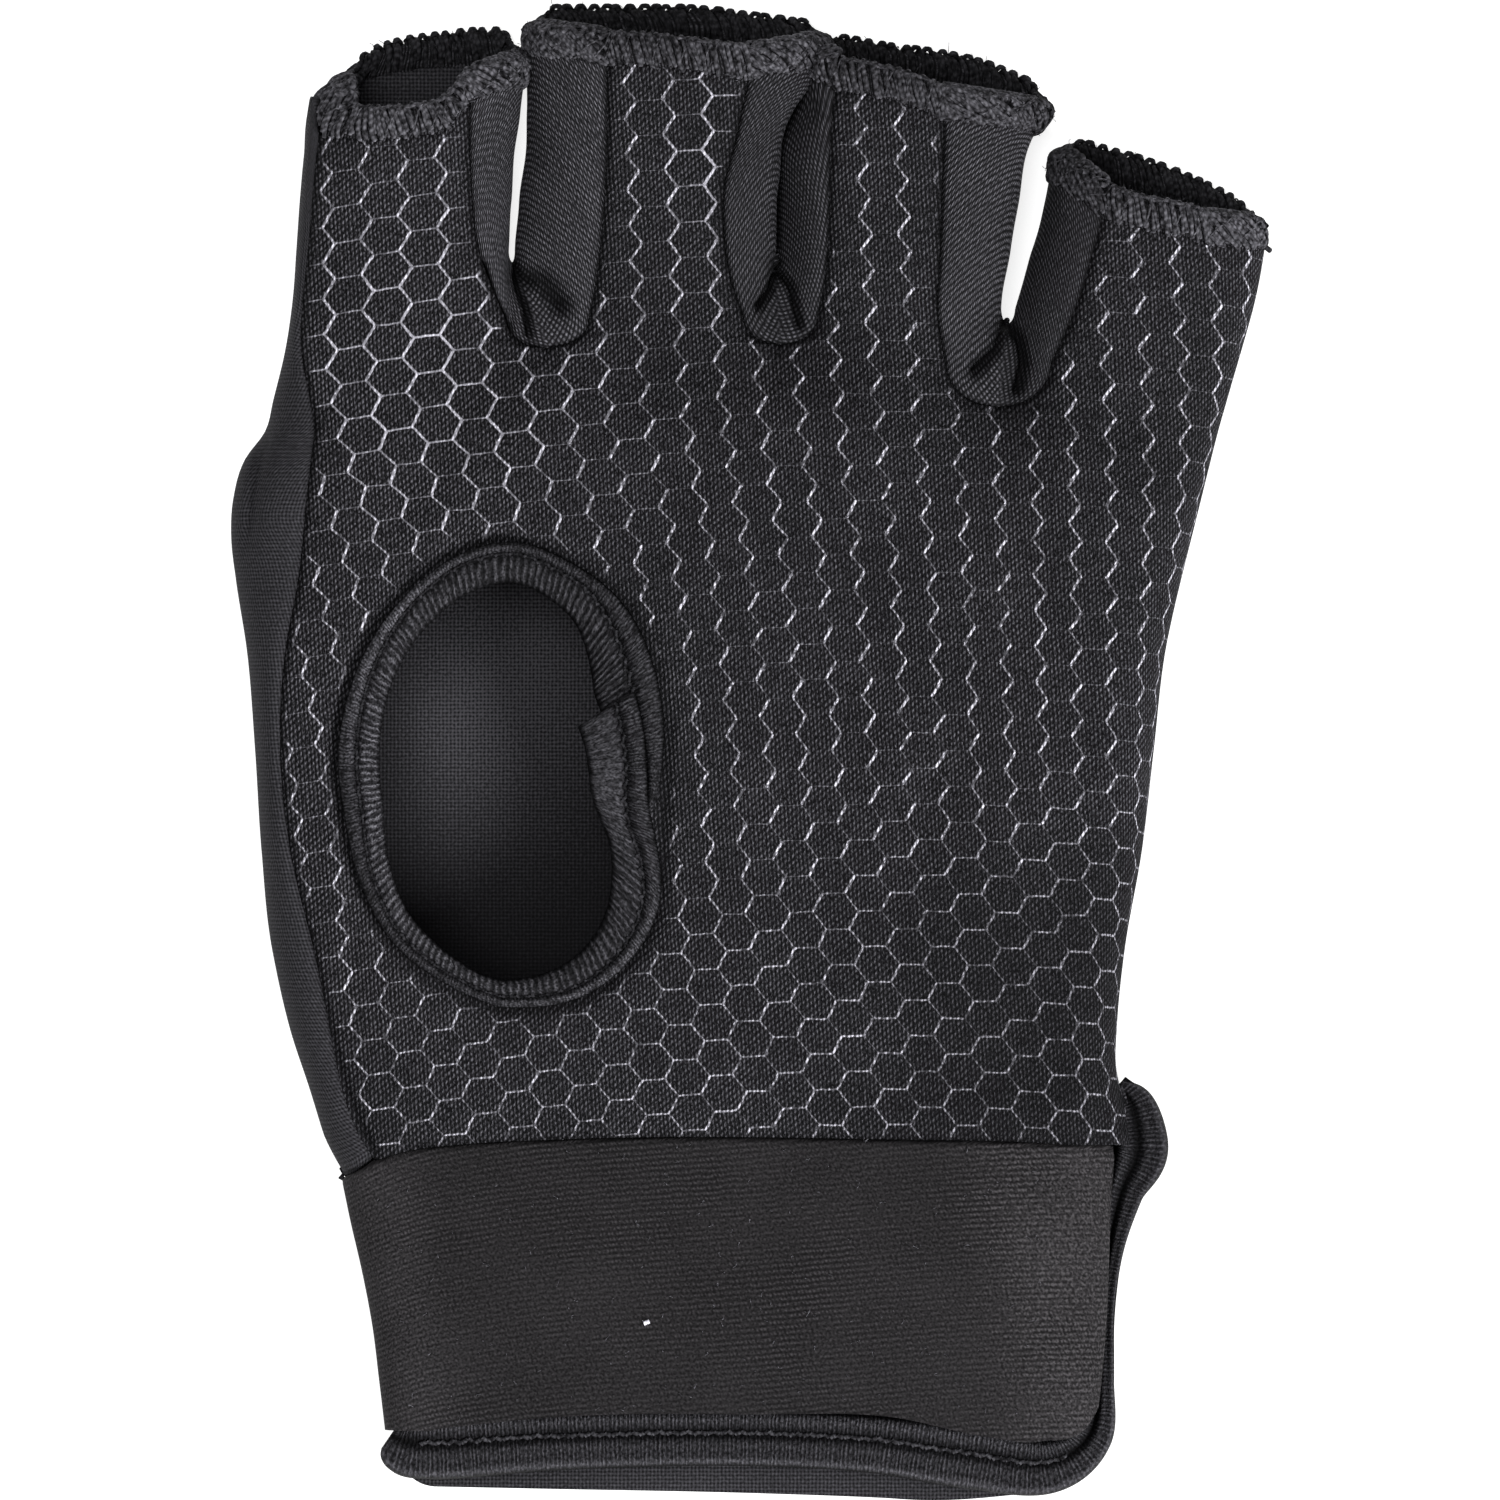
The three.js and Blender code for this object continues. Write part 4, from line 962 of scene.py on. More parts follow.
def cut_hole(piece, inset):
    """Leave out the faces inside the thumb hole and draw its new edge onto a smooth curve."""
    mesh = piece.data
    points = read_all(mesh.vertices, "co", 3) * 1000
    away = points[:, :2] - THUMB_MIDDLE
    angle = np.degrees(np.arctan2(away[:, 1], away[:, 0]))
    edge = thumb_radius(angle) - inset
    distance = np.hypot(away[:, 0], away[:, 1])
    inside = distance < edge
    loops = np.array([p.vertices[:] for p in mesh.polygons])
    doomed = inside[loops].all(1)
    rim = np.unique(loops[~doomed][inside[loops[~doomed]].any(1)])
    rim = rim[inside[rim]]
    points[rim, :2] = THUMB_MIDDLE + away[rim] * (edge / distance)[rim, None]
    mesh.vertices.foreach_set("co", (points * 0.001).ravel())
    tool = bmesh.new()
    tool.from_mesh(mesh)
    tool.faces.ensure_lookup_table()
    bmesh.ops.delete(tool, geom=[tool.faces[i] for i in np.flatnonzero(doomed)], context="FACES")
    tool.to_mesh(mesh)
    tool.free()
    print(piece.name, "hole: left out", int(doomed.sum()), "faces")


def seam_sink(distance):
    """How deep sewn cloth is drawn in at a distance from its seam: a narrow groove in a soft valley."""
    return 0.45 * hump(distance, 0.45) + 0.3 * hump(distance, 1.6)


def with_side(grid, cloth, side, sign):
    """A strip with a rounded side joined on at its right (sign 1) or left (-1) edge. The cloth coordinates go
    on across the side by its true length."""
    if sign < 0:
        grid, cloth, side = (a[:, ::-1] for a in (grid, cloth, side))
    run = lengths(np.concatenate([grid[:, -1:], side], 1), 1)[:, 1:]
    beyond = np.stack([cloth[:, -1:, 0] + sign * run, np.broadcast_to(cloth[:, -1:, 1], run.shape)], -1)
    grid, cloth = np.concatenate([grid, side], 1), np.concatenate([cloth, beyond], 1)
    return (grid[:, ::-1], cloth[:, ::-1]) if sign < 0 else (grid, cloth)


print("rows along a strip:", len(way_up))

# %% [markdown]
# The heights of a strip come from the palm's crown, less what its seams draw in and with a small pucker
# beside them. Every point also gets its distance from the nearest seam, along which the material paints
# shade.


# %% Build the palm panel
def palm_parts():
    parts = []
    for finger in FINGERS:
        plan = panel_strip(finger, "palm", way_up)
        x, y = plan[..., 0], plan[..., 1]
        distance = from_seam(finger, plan, way_up)
        pucker = np.sin(y * 2.3 + soft_noise(x, y, 5, 8) * 2)
        z = palm_top(x, y) - seam_sink(distance) + 0.12 * pucker * hump(distance - 1.5, 1.5)
        z = z - seam_sink(x - OUTLINE.at("seam", y)) - 0.5 * seam_sink(y - HAND_END - CUFF_SEAM.at("shift", x))
        grid, cloth = np.concatenate([plan, z[..., None]], -1), plan.copy()
        if finger == "little":
            turns = np.linspace(0, PALM_WRAP, WRAP_STEPS + 1)[1:]
            side = side_points(side_plan(finger, "right", way_up), turns)
            side[..., 1] += plan[:, -1:, 1] - border(finger, "right", "palm", way_up)[:, 1][:, None]
            grid, cloth = with_side(grid, cloth, side, 1)
        x, y = grid[..., 0], grid[..., 1]
        from_tape = past_thumb_tape(x, y)
        grid[..., 2] -= 0.9 * hump(from_tape - 0.1, 0.5) + 0.3 * hump(from_tape, 2.0)
        to_cuff = y - HAND_END - CUFF_SEAM.at("shift", x)
        to_side = x - OUTLINE.at("seam", y)
        # for the painted shade: the thumb tape's painted shadow reaches further out than a seam's, and the cuff
        # seam gets less
        to_seam = np.minimum(np.abs(from_tape) * 0.6, np.minimum(to_cuff + 0.5, to_side))
        to_seam[:, : distance.shape[1]] = np.minimum(to_seam[:, : distance.shape[1]], distance)
        seam = np.stack([to_seam, 0 * to_seam], -1)
        parts.append((grid, cloth, False, print_coordinates(cloth[..., 0], cloth[..., 1]), seam))
    return parts


palm = make_piece(
    "palm_cloth", palm_parts(), "palm_panel", printed_knit, wall=0.9, maps=("Print", "Seam")
)
cut_hole(palm, 1.5)

# %% [markdown]
# ## The back panel
#
# The back lies flat on the surface. On the thumb side it comes up round the edge to meet the palm's seam, and
# that strip is the plain border seen left of the print. It bulges where the thumb's knuckle would be, with a
# soft fold across the bulge.

# %% Build the back panel
BACK_WRAP, BACK_STEPS = 0.602, 24 // FINE
BULGE_FOLD = Table("y x", (18, -55.6), (23, -54.9), (28, -54.2), (32, -53.6), (36, -53.0))  # over the knuckle


def thumb_side_strip(plan):
    """The strip that comes up round the thumb side, from the seam down to the underside's left edge."""
    turns = np.linspace(0, 1, 2 * WRAP_STEPS + 1)[:-1]
    side = side_points(side_plan("index", "left", way_up), turns)
    side[..., 1] += plan[:, :1, 1] - border("index", "left", "under", way_up)[:, 1][:, None]
    drop = CUFF_SEAM.at("shift", side[..., 0]) - CUFF_SEAM.at("shift", plan[:, :1, 0])
    side[..., 1] += drop * eased(-0.75, -1, way_up)[:, None]
    x, y = side[..., 0].copy(), side[..., 1].copy()
    ripple = 0.3 * soft_noise(x, y, 6, 12) * np.sin(np.pi * turns)
    fold = 1.1 * hump(x - BULGE_FOLD.at("x", y), 0.7) * eased(19, 26, y) * eased(37, 33, y)
    to_cuff = y - HAND_END - CUFF_SEAM.at("shift", x)
    side[..., 2] += ripple - seam_sink(x - OUTLINE.at("seam", y)) - fold - 1.5 * hump(to_cuff, 0.9)
    side[..., 0] += 1.0 * eased(-0.94, -1, way_up)[:, None] * np.sin(np.pi * np.clip(turns, 0, 1))
    rounded = 2.3 * np.sin(np.pi * np.clip(turns * 3, 0, 1))
    rounded = rounded - 2.1 * eased(0.3, 0.55, turns) * eased(1.0, 0.8, turns)
    side[..., 1] += eased(0.7, 1, way_up)[:, None] * rounded
    return side


def back_parts():
    parts = []
    for finger in FINGERS:
        plan = panel_strip(finger, "under", way_up, BACK_STEPS)
        height = 0.12 + 0.1 * soft_noise(plan[..., 0], plan[..., 1], 7, 11)
        grid, cloth = np.concatenate([plan, height[..., None]], -1), plan.copy()
        if finger == "index":
            grid, cloth = with_side(grid, cloth, thumb_side_strip(plan), -1)
        if finger == "little":
            turns = np.linspace(1, BACK_WRAP, WRAP_STEPS // 2 + 1)[1:]
            grid, cloth = with_side(grid, cloth, side_points(side_plan(finger, "right", way_up), turns), 1)
        parts.append((grid[:, ::-1], cloth[:, ::-1]))
    return parts


back = make_piece("back_cloth", back_parts(), "back_panel", back_jersey, wall=1.0)

# %% [markdown]
# ## The gussets
#
# A gusset is one strip that runs down one finger, round the bottom of the slit and up the next finger. Its
# rows are the rounded sides already defined, so it meets both panels at their seams.

# %% Build the three gussets
GUSSET_STEPS, GUSSET_ROWS = 44 // FINE, 96 // FINE
CREASES = {  # folds that start where the gap ends, as lines of x, y with a width and a depth
    "index_middle": (
        (((-26.0, 55.3), (-25.5, 50.5), (-24.6, 48.2), (-24.3, 45.6)), 0.4, 1.6),
        (((-25.2, 52.2), (-23.0, 51.6), (-20.8, 48.9)), 1.1, 1.5),
        (((-29.2, 53.2), (-28.3, 49.6), (-26.4, 46.2)), 0.4, 0.7),
    ),
    "middle_ring": (
        (((2.9, 53.6), (2.0, 50.4), (0.9, 48.8)), 0.5, 1.8),
        (((3.2, 52.4), (4.4, 50.9), (5.0, 48.0), (5.4, 46.6)), 0.45, 1.5),
    ),
    "ring_little": (
        (((27.8, 47.0), (26.8, 44.0), (24.6, 41.8)), 0.7, 1.8),
        (((28.0, 46.8), (29.4, 45.2), (29.9, 42.6), (29.2, 39.6)), 0.6, 1.8),
    ),
}
FLAPS = {  # of the left and the right side: 1 bulges, -1 sinks
    "index_middle": (0.0, 0.0),
    "middle_ring": (1.0, -1.0),
    "ring_little": (0.3, -0.1),
}


def to_line(x, y, line):
    """Distance of points from a bent line."""
    nearest = np.full(np.shape(x), 99.0)
    for (ax, ay), (bx, by) in zip(line, line[1:]):
        dx, dy = bx - ax, by - ay
        t = np.clip(((x - ax) * dx + (y - ay) * dy) / (dx * dx + dy * dy), 0, 1)
        nearest = np.minimum(nearest, np.hypot(x - ax - t * dx, y - ay - t * dy))
    return nearest


def gusset_side(finger, hand, ways, turns, flap):
    share = (flap * eased(0.0, 0.3, ways) * eased(1, 0.9, ways))[:, None]
    wide, full = SIDE_HEIGHT + 0.17 * share, 0.55 + 0.42 * share
    return side_points(side_plan(finger, hand, ways), turns, wide=wide, full=full)


def gusset_parts(name, left_finger, right_finger):
    turns = lerp(np.linspace(0, 1, GUSSET_STEPS + 1), np.linspace(0, 1, GUSSET_STEPS + 1) ** 2, 0.3)
    ways = np.linspace(0, 1, GUSSET_ROWS + 1)
    left = gusset_side(left_finger, "right", ways, turns, FLAPS[name][0])[::-1]
    right = gusset_side(right_finger, "left", ways, turns, FLAPS[name][1])[1:]
    grid = np.concatenate([left, right])
    down, over = lengths(grid), lengths(grid, 1)
    cloth = np.stack([over, down[GUSSET_ROWS] - down], -1)
    x, y = grid[..., 0].copy(), grid[..., 1].copy()
    upper = eased(0.72, 0.48, turns)[None, :]
    inside = np.sin(np.pi * turns)[None, :]
    grid = grid + normals_of(grid) * (0.3 * inside * soft_noise(x, y, 5, 21))[..., None]
    shaded = np.zeros(x.shape)
    for line, width, depth in CREASES[name]:
        away = to_line(x, y, line)
        grid[..., 2] -= 1.2 * depth * hump(away, width) * upper
        shaded = np.maximum(shaded, hump(away, width * 1.1) * upper)
    grid[..., 2] -= seam_sink(over) * 0.9 * upper
    # the Crease map tells the material where to paint shade in the creases
    crease = np.stack([shaded, 0 * shaded], -1)
    return [(grid[:, ::-1], cloth[:, ::-1], False, crease[:, ::-1])]


gussets = [
    make_piece(
        "gusset_" + name,
        gusset_parts(name, FINGERS[i], FINGERS[i + 1]),
        "fourchette_" + name,
        lycras[name],
        wall=0.7,
        maps=("Crease",),
    )
    for i, name in enumerate(SLITS)
]

# %% [markdown]
# ## The overlocked hems
#
# An overlock stitch wraps the raw edge in thread. The hem is modelled as it is made: a rounded band along
# each rim, and over it hundreds of slanting threads, with a chain of small loops round the rim itself.

# %% The bands under the hems
HEM_COUNTS = [260 // FINE * share // 20 for share in (7, 3, 7, 3)]  # columns over the palm, side, back, side
HEM_SECTION = Table(  # how far along the finger, and how far out from the cloth's surface, round the rim
    "step ahead out",
    (0, -0.4, -0.4),
    (1, 0.2, 0.25),
    (2, 0.9, 0.45),
    (3, 1.7, 0.5),
    (4, 2.4, 0.35),
    (5, 2.85, 0.0),
    (6, 3.0, -0.6),
    (7, 2.85, -1.2),
    (8, 2.4, -1.5),
    (9, 1.6, -1.6),
    (10, 0.5, -1.4),
    (11, -0.4, -0.9),
)
HEM_STEPS = 11
HEM_TUCK = {  # how far its left and its right end are drawn in
    "index": (2.7, 0.0),
    "middle": (0.3, 0.0),
    "ring": (0.3, 0.0),
    "little": (0.7, 1.0),
}
HEM_LAYERS = Table(  # read row by row: slant in mm, first and last step, distance between threads, radius, lift
    "slant first last gap radius lift",
    (-2.6, 0.9, 10.4, 0.75, 0.26, 0.04),
    (-2.2, 1.0, 9.6, 1.15, 0.26, 0.22),
    (-1.8, 1.0, 6.2, 1.5, 0.24, 0.44),
    (1.4, 1.0, 6.6, 2.4, 0.09, 0.55),
)


def hem_loop(finger, ahead, out):
    """Closed line round a finger at a distance from the cloth's end, clockwise from its palm's left edge."""
    plans = {}
    for hand in ("left", "right"):
        lines = []
        for level in LEVELS:
            y = np.array([rim_at(finger, hand, level) - HEM + ahead])
            lines.append(np.stack([edge_x(finger, hand, level, y), y], -1))
        plans[hand] = lines
    t = [np.linspace(0, 1, count, endpoint=False) for count in HEM_COUNTS]

    def flat(level, start, end, t, top):
        plan = lerp(plans[start][LEVELS.index(level)], plans[end][LEVELS.index(level)], t[:, None])
        across = t if start == "left" else 1 - t
        top_y = RIMS[finger].at("palm" if level == "palm" else "back", across)
        plan[:, 1] += top_y - lerp(top_y[0], top_y[-1], t)
        return np.concatenate([plan, top(plan[:, 0], plan[:, 1])[:, None]], -1)

    loop = np.concatenate([
        flat("palm", "left", "right", t[0], palm_top),
        side_points(plans["right"], t[1])[0],
        flat("under", "right", "left", t[2], lambda x, y: np.full_like(x, 0.12)),
        side_points(plans["left"], 1 - t[3])[0],
    ])
    section = np.roll(loop, -3, 0) - np.roll(loop, 3, 0)
    push = unit(np.cross(section, [0.0, 1.0, 0.0])) * np.reshape(out, (-1, 1))
    push[:, 2] = np.where(loop[:, 2] + push[:, 2] < 0.1, 0.1 - loop[:, 2], push[:, 2])
    tuck = np.array(HEM_TUCK[finger]) * eased(-1.5, 2.5, ahead)
    push[:, 0] += tuck[0] * hump(loop[:, 0] - loop[:, 0].min(), 5)
    push[:, 0] -= tuck[1] * hump(loop[:, 0] - loop[:, 0].max(), 5)
    return loop + push


def hem_grid(finger, seed):
    columns = sum(HEM_COUNTS)
    lines = []
    for step in np.linspace(0, HEM_STEPS, 34 // FINE):
        wave = 0.12 * soft_noise(np.arange(columns) * (64 / columns), np.full(columns, step), 1.5, seed)
        out = HEM_SECTION.at("out", step) + wave
        lines.append(hem_loop(finger, HEM_SECTION.at("ahead", step), out))
    return np.array(lines)


# %% [markdown]
# The threads are laid on the band, where a place is a step and a column. Step 0 is outside on the cloth, step 6
# on the rim and step 11 inside the sleeve; the columns run round the rim.


# %% The threads of a hem
class HemThreads:
    """Layers, loops and a cord of thread, all drawn from the hem's own random numbers."""

    def __init__(self, grid, seed):
        self.grid, self.normal, self.rng = grid, normals_of(grid, True), np.random.default_rng(seed)
        self.rows, self.columns = grid.shape[:2]
        middle = grid[self.rows // 3]
        self.run = lengths(np.concatenate([middle, middle[:1]]))
        self.around = self.run[-1]
        self.per_mm = self.columns / self.around

    def places(self, count, loose):
        """Columns of the grid at even distances along the rim, each moved a little by chance."""
        even = (np.arange(count) + self.rng.uniform(-loose, loose, count)) / count
        return np.interp(np.mod(even, 1) * self.around, self.run, np.arange(self.columns + 1))[:, None]

    def threads(self, step, column, lift, radius):
        row = step * (self.rows - 1) / HEM_STEPS
        path, out = on_grid(self.grid, self.normal, row, column, lift, True)
        return thread_parts(path, out, radius)

    def layer(self, slant, first, last, gap, radius, up):
        rng, t = self.rng, np.linspace(0, 1, 14)[None, :]
        count = int(self.around / gap)
        start = self.places(count, 0.35)
        step = lerp(first + rng.uniform(-0.6, 0.5, (count, 1)), last, t)
        column = start + slant * self.per_mm * (t * 1.6 + rng.uniform(-0.4, 0.4, (count, 1)) * t)
        column = column + self.per_mm * 0.1 * np.sin(t * 9 + rng.uniform(0, 6, (count, 1)))
        ends = np.sin(np.pi * np.clip(t, 0.02, 0.98)) ** 0.4
        lift = up * ends + rng.uniform(0, 0.16, (count, 1)) + 0.06 * np.sin(t * 12 + start)
        return self.threads(step, column, lift, radius * rng.uniform(0.7, 1.2, (count, 1)))

    def knobs(self):
        """A chain of small loops along the back's rim; along the palm's they are hardly there."""
        count = int(self.around / 1.35)
        turn = np.linspace(-0.35, 1.15, 13)[None, :] * np.pi
        start = self.places(count, 0.18)
        size = self.rng.uniform(0.8, 1.15, (count, 1)) * np.where(start < self.columns * 0.35, 0.35, 1)
        column = start + self.per_mm * 0.55 * np.cos(turn) * size
        step = 5.6 + 1.3 * (np.sin(turn) - 0.4) * size
        return self.threads(step, column, 0.3 + 0.45 * np.sin(turn) ** 2 * size, 0.3)

    def cord(self):
        """Three threads side by side along the palm's rim."""
        along = np.linspace(0.01, 0.36, 90 // FINE)[None, :] * self.columns
        weave = self.rng.uniform(0, 6, 3)[:, None]
        step = 5.0 + 0.25 * np.arange(3)[:, None] + 0.15 * np.sin(along * 0.25 + weave)
        return self.threads(step, along + 0 * step, 0.42 + 0.08 * np.sin(along * 0.4 + weave), 0.17)


def hem_threads(grid, seed):
    hem = HemThreads(grid, seed)
    return [part for row in HEM_LAYERS.rows for part in hem.layer(*row)] + hem.knobs() + hem.cord()


def fuzz_parts(grid, count, seed, closed=True, last=1.0, length=0.9, margin=0.0):
    """Loose fibres that stand off a surface in soft curls."""
    rng = np.random.default_rng(seed)
    rows, columns = grid.shape[:2]
    normal = normals_of(grid, closed)
    row = rng.uniform(0, last, (count, 1)) * (rows - 1)
    column = rng.uniform(margin, 1 - margin, (count, 1)) * columns
    root, out = on_grid(grid, normal, row, column, np.zeros((count, 1)), closed)
    t = np.linspace(0, 1, 5)[None, :, None]
    lean = rng.normal(0, 0.7, (count, 1, 3))
    curl = rng.normal(0, 0.6, (count, 1, 3))
    reach = length * rng.uniform(0.4, 1.2, (count, 1, 1))
    path = root + reach * (t * out * 0.8 + t * lean * 0.6 + np.sin(t * 3) * curl * 0.35)
    path[..., 2] = np.maximum(path[..., 2], 0.1)
    return thread_parts(path, np.broadcast_to(out, path.shape), 0.035, 3)


# %% Build the hems
for seed, finger in enumerate(FINGERS):
    grid = hem_grid(finger, seed + 31)
    run = np.broadcast_to(np.arange(grid.shape[1])[None, :] * 0.25, grid.shape[:2])
    rise = np.broadcast_to(np.arange(grid.shape[0])[:, None] * 0.4, grid.shape[:2])
    band = (grid, np.stack([run, rise], -1), True)
    threads = hem_threads(grid, seed + 41)
    fuzz = fuzz_parts(grid, 160, seed + 51, last=0.8)
    hem = thread_piece(finger + "_overlock", [band, *threads, *fuzz], hem_thread, finger + "_hem")
    hem.data.materials.append(hem_core)
    core = np.arange(len(hem.data.polygons)) < (grid.shape[0] - 1) * grid.shape[1]
    hem.data.polygons.foreach_set("material_index", core.astype(int))

# %% [markdown]
# ## The thumb hole's tape
#
# One strip of folded tape is sewn round the hole. It starts with a cut end at the upper right, runs clockwise
# all the way round, and goes on a little further outside its own beginning. So it is modelled as one sweep of
# 412 degrees, whose first stretch is shifted inwards and lifted over its last.

# %% Build the tape
TAPE_START = 31.5
TAPE = Table(  # along its sweep: width, where its groove is, how far the lap is shifted inwards, and its lift
    "sweep width groove shift lift",
    (0, 7.3, 2.4, 2.9, 1.0),
    (13, 6.8, 2.4, 2.3, 1.0),
    (30, 6.4, 2.2, 1.9, 0.9),
    (44, 6.5, 2.6, 1.6, 0.8),
    (54, 6.9, 3.1, 0.8, 0.6),
    (63, 6.9, 2.7, 0.1, 0.3),
    (74, 6.7, 2.0, 0, 0.1),
    (84, 5.7, 1.6, 0, 0),
    (96, 4.6, 1.3, 0, 0),
    (110, 3.6, 1.2, 0, 0),
    (121, 3.0, 1.2, 0, 0),
    (150, 3.5, 1.3, 0, 0),
    (173, 4.0, 1.6, 0, 0),
    (194, 4.4, 2.0, 0, 0),
    (216, 4.6, 2.1, 0, 0),
    (254, 4.3, 1.6, 0, 0),
    (291, 4.4, 1.1, 0, 0),
    (315, 4.7, 1.4, 0, 0),
    (326, 5.3, 1.6, 0, 0),
    (339, 7.0, 2.6, 0, 0),
    (349, 7.7, 3.0, 0, 0),
    (361, 7.2, 3.1, 0, -0.1),
    (380, 5.6, 2.4, 0, -0.2),
    (396, 4.5, 1.4, 0.5, -0.4),
    (412, 3.0, 0.8, 1.6, -0.8),
)
TAPE_SECTION = Table(  # from the outer edge (0) over the groove (0.4) to the inner edge (1)
    "share height",
    (0.0, -0.6),
    (0.03, 0.3),
    (0.09, 0.85),
    (0.2, 1.15),
    (0.31, 0.85),
    (0.37, 0.3),
    (0.4, 0.0),
    (0.44, 0.3),
    (0.52, 0.6),
    (0.7, 0.62),
    (0.87, 0.3),
    (0.96, -0.2),
    (1.0, -0.9),
)
TAPE_COLUMNS, TAPE_ROWS, TAPE_GROOVE = 38 // FINE, 1050 // FINE, 0.4


def tape_grid():
    sweep = np.linspace(0, TAPE.rows[-1, 0], TAPE_ROWS)[:, None]
    share = np.linspace(0, 1, TAPE_COLUMNS)[None, :]
    width, groove, shift, lift = (TAPE.at(name, sweep) for name in TAPE.names[1:])
    past = (share - TAPE_GROOVE) / 0.6
    inward = shift + np.where(share < TAPE_GROOVE, share / TAPE_GROOVE * groove, lerp(groove, width, past))
    angle = np.radians(TAPE_START - sweep)
    radius = thumb_radius(np.degrees(angle)) - inward
    x = THUMB_MIDDLE[0] + radius * np.cos(angle)
    y = THUMB_MIDDLE[1] + radius * np.sin(angle)
    arc = lengths(np.stack([x[:, 0], y[:, 0]], -1))[:, None]
    along_rib = arc + 0.25 * soft_noise(arc, 0 * arc, 3, 61)
    rib = np.cos(along_rib * 2 * np.pi / TAPE_RIB)
    inner = eased(0.42, 0.52, share) * eased(1.0, 0.93, share) * lerp(0.3, 1, eased(30, 75, sweep))
    roll = eased(0.03, 0.1, share) * eased(0.38, 0.3, share)
    height = TAPE_SECTION.at("height", share) + 0.12 * rib * inner + 0.05 * rib * roll
    height = height + 0.14 * soft_noise(arc + 0 * share, share * 6 + 0 * arc, 3, 62)
    height = height - 0.7 * hump(sweep, 0.6)
    z = palm_top(x, y) + height + lift
    return np.stack([x, y, z], -1), np.stack(np.broadcast_arrays(along_rib, share * 10), -1)


tape, tape_cloth = tape_grid()
thumb_tape = make_piece(
    "thumb_tape", [(tape, tape_cloth)], "thumb_binding", thumb_rib, wall=0.6, weld=0
)


# %% Sew the tape down
def zigzag(grid, middle, half, pitch, seed, radius=0.16, lift=0.06, first=0.0, last=1.0):
    """A zigzag stitch along a strip's rows, middle and half given as shares of its width."""
    rng = np.random.default_rng(seed)
    rows, columns = grid.shape[:2]
    run = lengths(grid[:, int(middle * (columns - 1))])
    count = int(run[-1] * (last - first) / pitch)
    at = np.interp((first * run[-1]) + np.arange(count + 1) * pitch, run, np.arange(rows))
    t = np.linspace(0, 1, 7)[None, :]
    row = lerp(at[:-1, None], at[1:, None], t)
    sign = np.where(np.arange(count) % 2, 1, -1)[:, None]
    column = (middle + half * sign * (2 * t - 1) + rng.uniform(-0.02, 0.02, (count, 1))) * (columns - 1)
    path, out = on_grid(grid, normals_of(grid), row, column, lift + 0.1 * np.sin(np.pi * t) + 0 * row)
    return thread_parts(path, out, radius)


tape_stitch = thread_piece("thumb_tape_stitch", zigzag(tape, 0.41, 0.05, 0.8, 71, radius=0.2), black_thread)

# %% [markdown]
# ## The cuff
#
# The cuff is a ribbed band. Its front layer ends in a soft free edge; the back layer is longer, and its end
# is bound with folded tape that turns the corner and runs up the open right side.

# %% Build the cuff's two layers
CUFF_TOP = -43.5  # just inside the panels' ends
CUFF = Table(
    "y left right crown back_right",
    (-76.0, -39.9, 38.4, 12.6, 34.6),
    (-69.0, -40.7, 39.2, 13.4, 36.0),
    (-63.0, -41.4, 39.7, 14.0, 36.7),
    (-56.0, -42.6, 40.0, 14.2, 38.5),
    (-50.0, -43.8, 40.2, 14.0, 41.0),
    (-44.4, -44.8, 40.6, 13.8, 42.8),
)
CUFF_END = Table(
    "x end",
    (-40.6, -74.9),
    (-33.0, -74.0),
    (-22.0, -73.0),
    (0.0, -72.7),
    (16.0, -73.0),
    (27.0, -75.2),
    (33.5, -75.7),
    (37.0, -74.6),
    (39.4, -71.6),
)
CUFF_FLOOR, CUFF_SHOULDER, CUFF_DROP = 1.8, 5.5, 0.2
CUFF_FOLD = -38.0  # x of the folded left side
CUFF_TURN = 0.34  # how far round the right side the front layer reaches, where it ends free
CUFF_LEAN = Table(  # how far the ribs have risen along the cuff; they rise steeply at its left end
    "x rise", (-48, -10.2), (-42, -6.6), (-36, -4.2), (-30, -3.0), (0, 0.0), (30, 2.4), (40, 2.6)
)


def cuff_top(x, y):
    left, right = CUFF.at("left", y), CUFF.at("right", y)
    across = np.clip((2 * x - left - right) / (right - left), -1, 1)
    height = CUFF.at("crown", y) * (1 - CUFF_DROP * np.abs(across) ** CROWN_POWER)
    swell = 0.35 * np.sin(x * 0.11 + 1.0) * eased(-50, -70, y)
    return height + swell + 0.25 * soft_noise(x, y, 10, 81)


def cuff_plan(hand, y):
    sign = 1 if hand == "left" else -1
    x = CUFF.at(hand, y)
    return [np.stack([x + sign * inset, y], -1) for inset in (CUFF_SHOULDER, 0.0, UNDER_INSET)]


def cuff_y(x, share):
    """y at a share of the way from the cuff's seam to its free edge."""
    return lerp(CUFF_TOP + CUFF_SEAM.at("shift", x), CUFF_END.at("end", x), share)


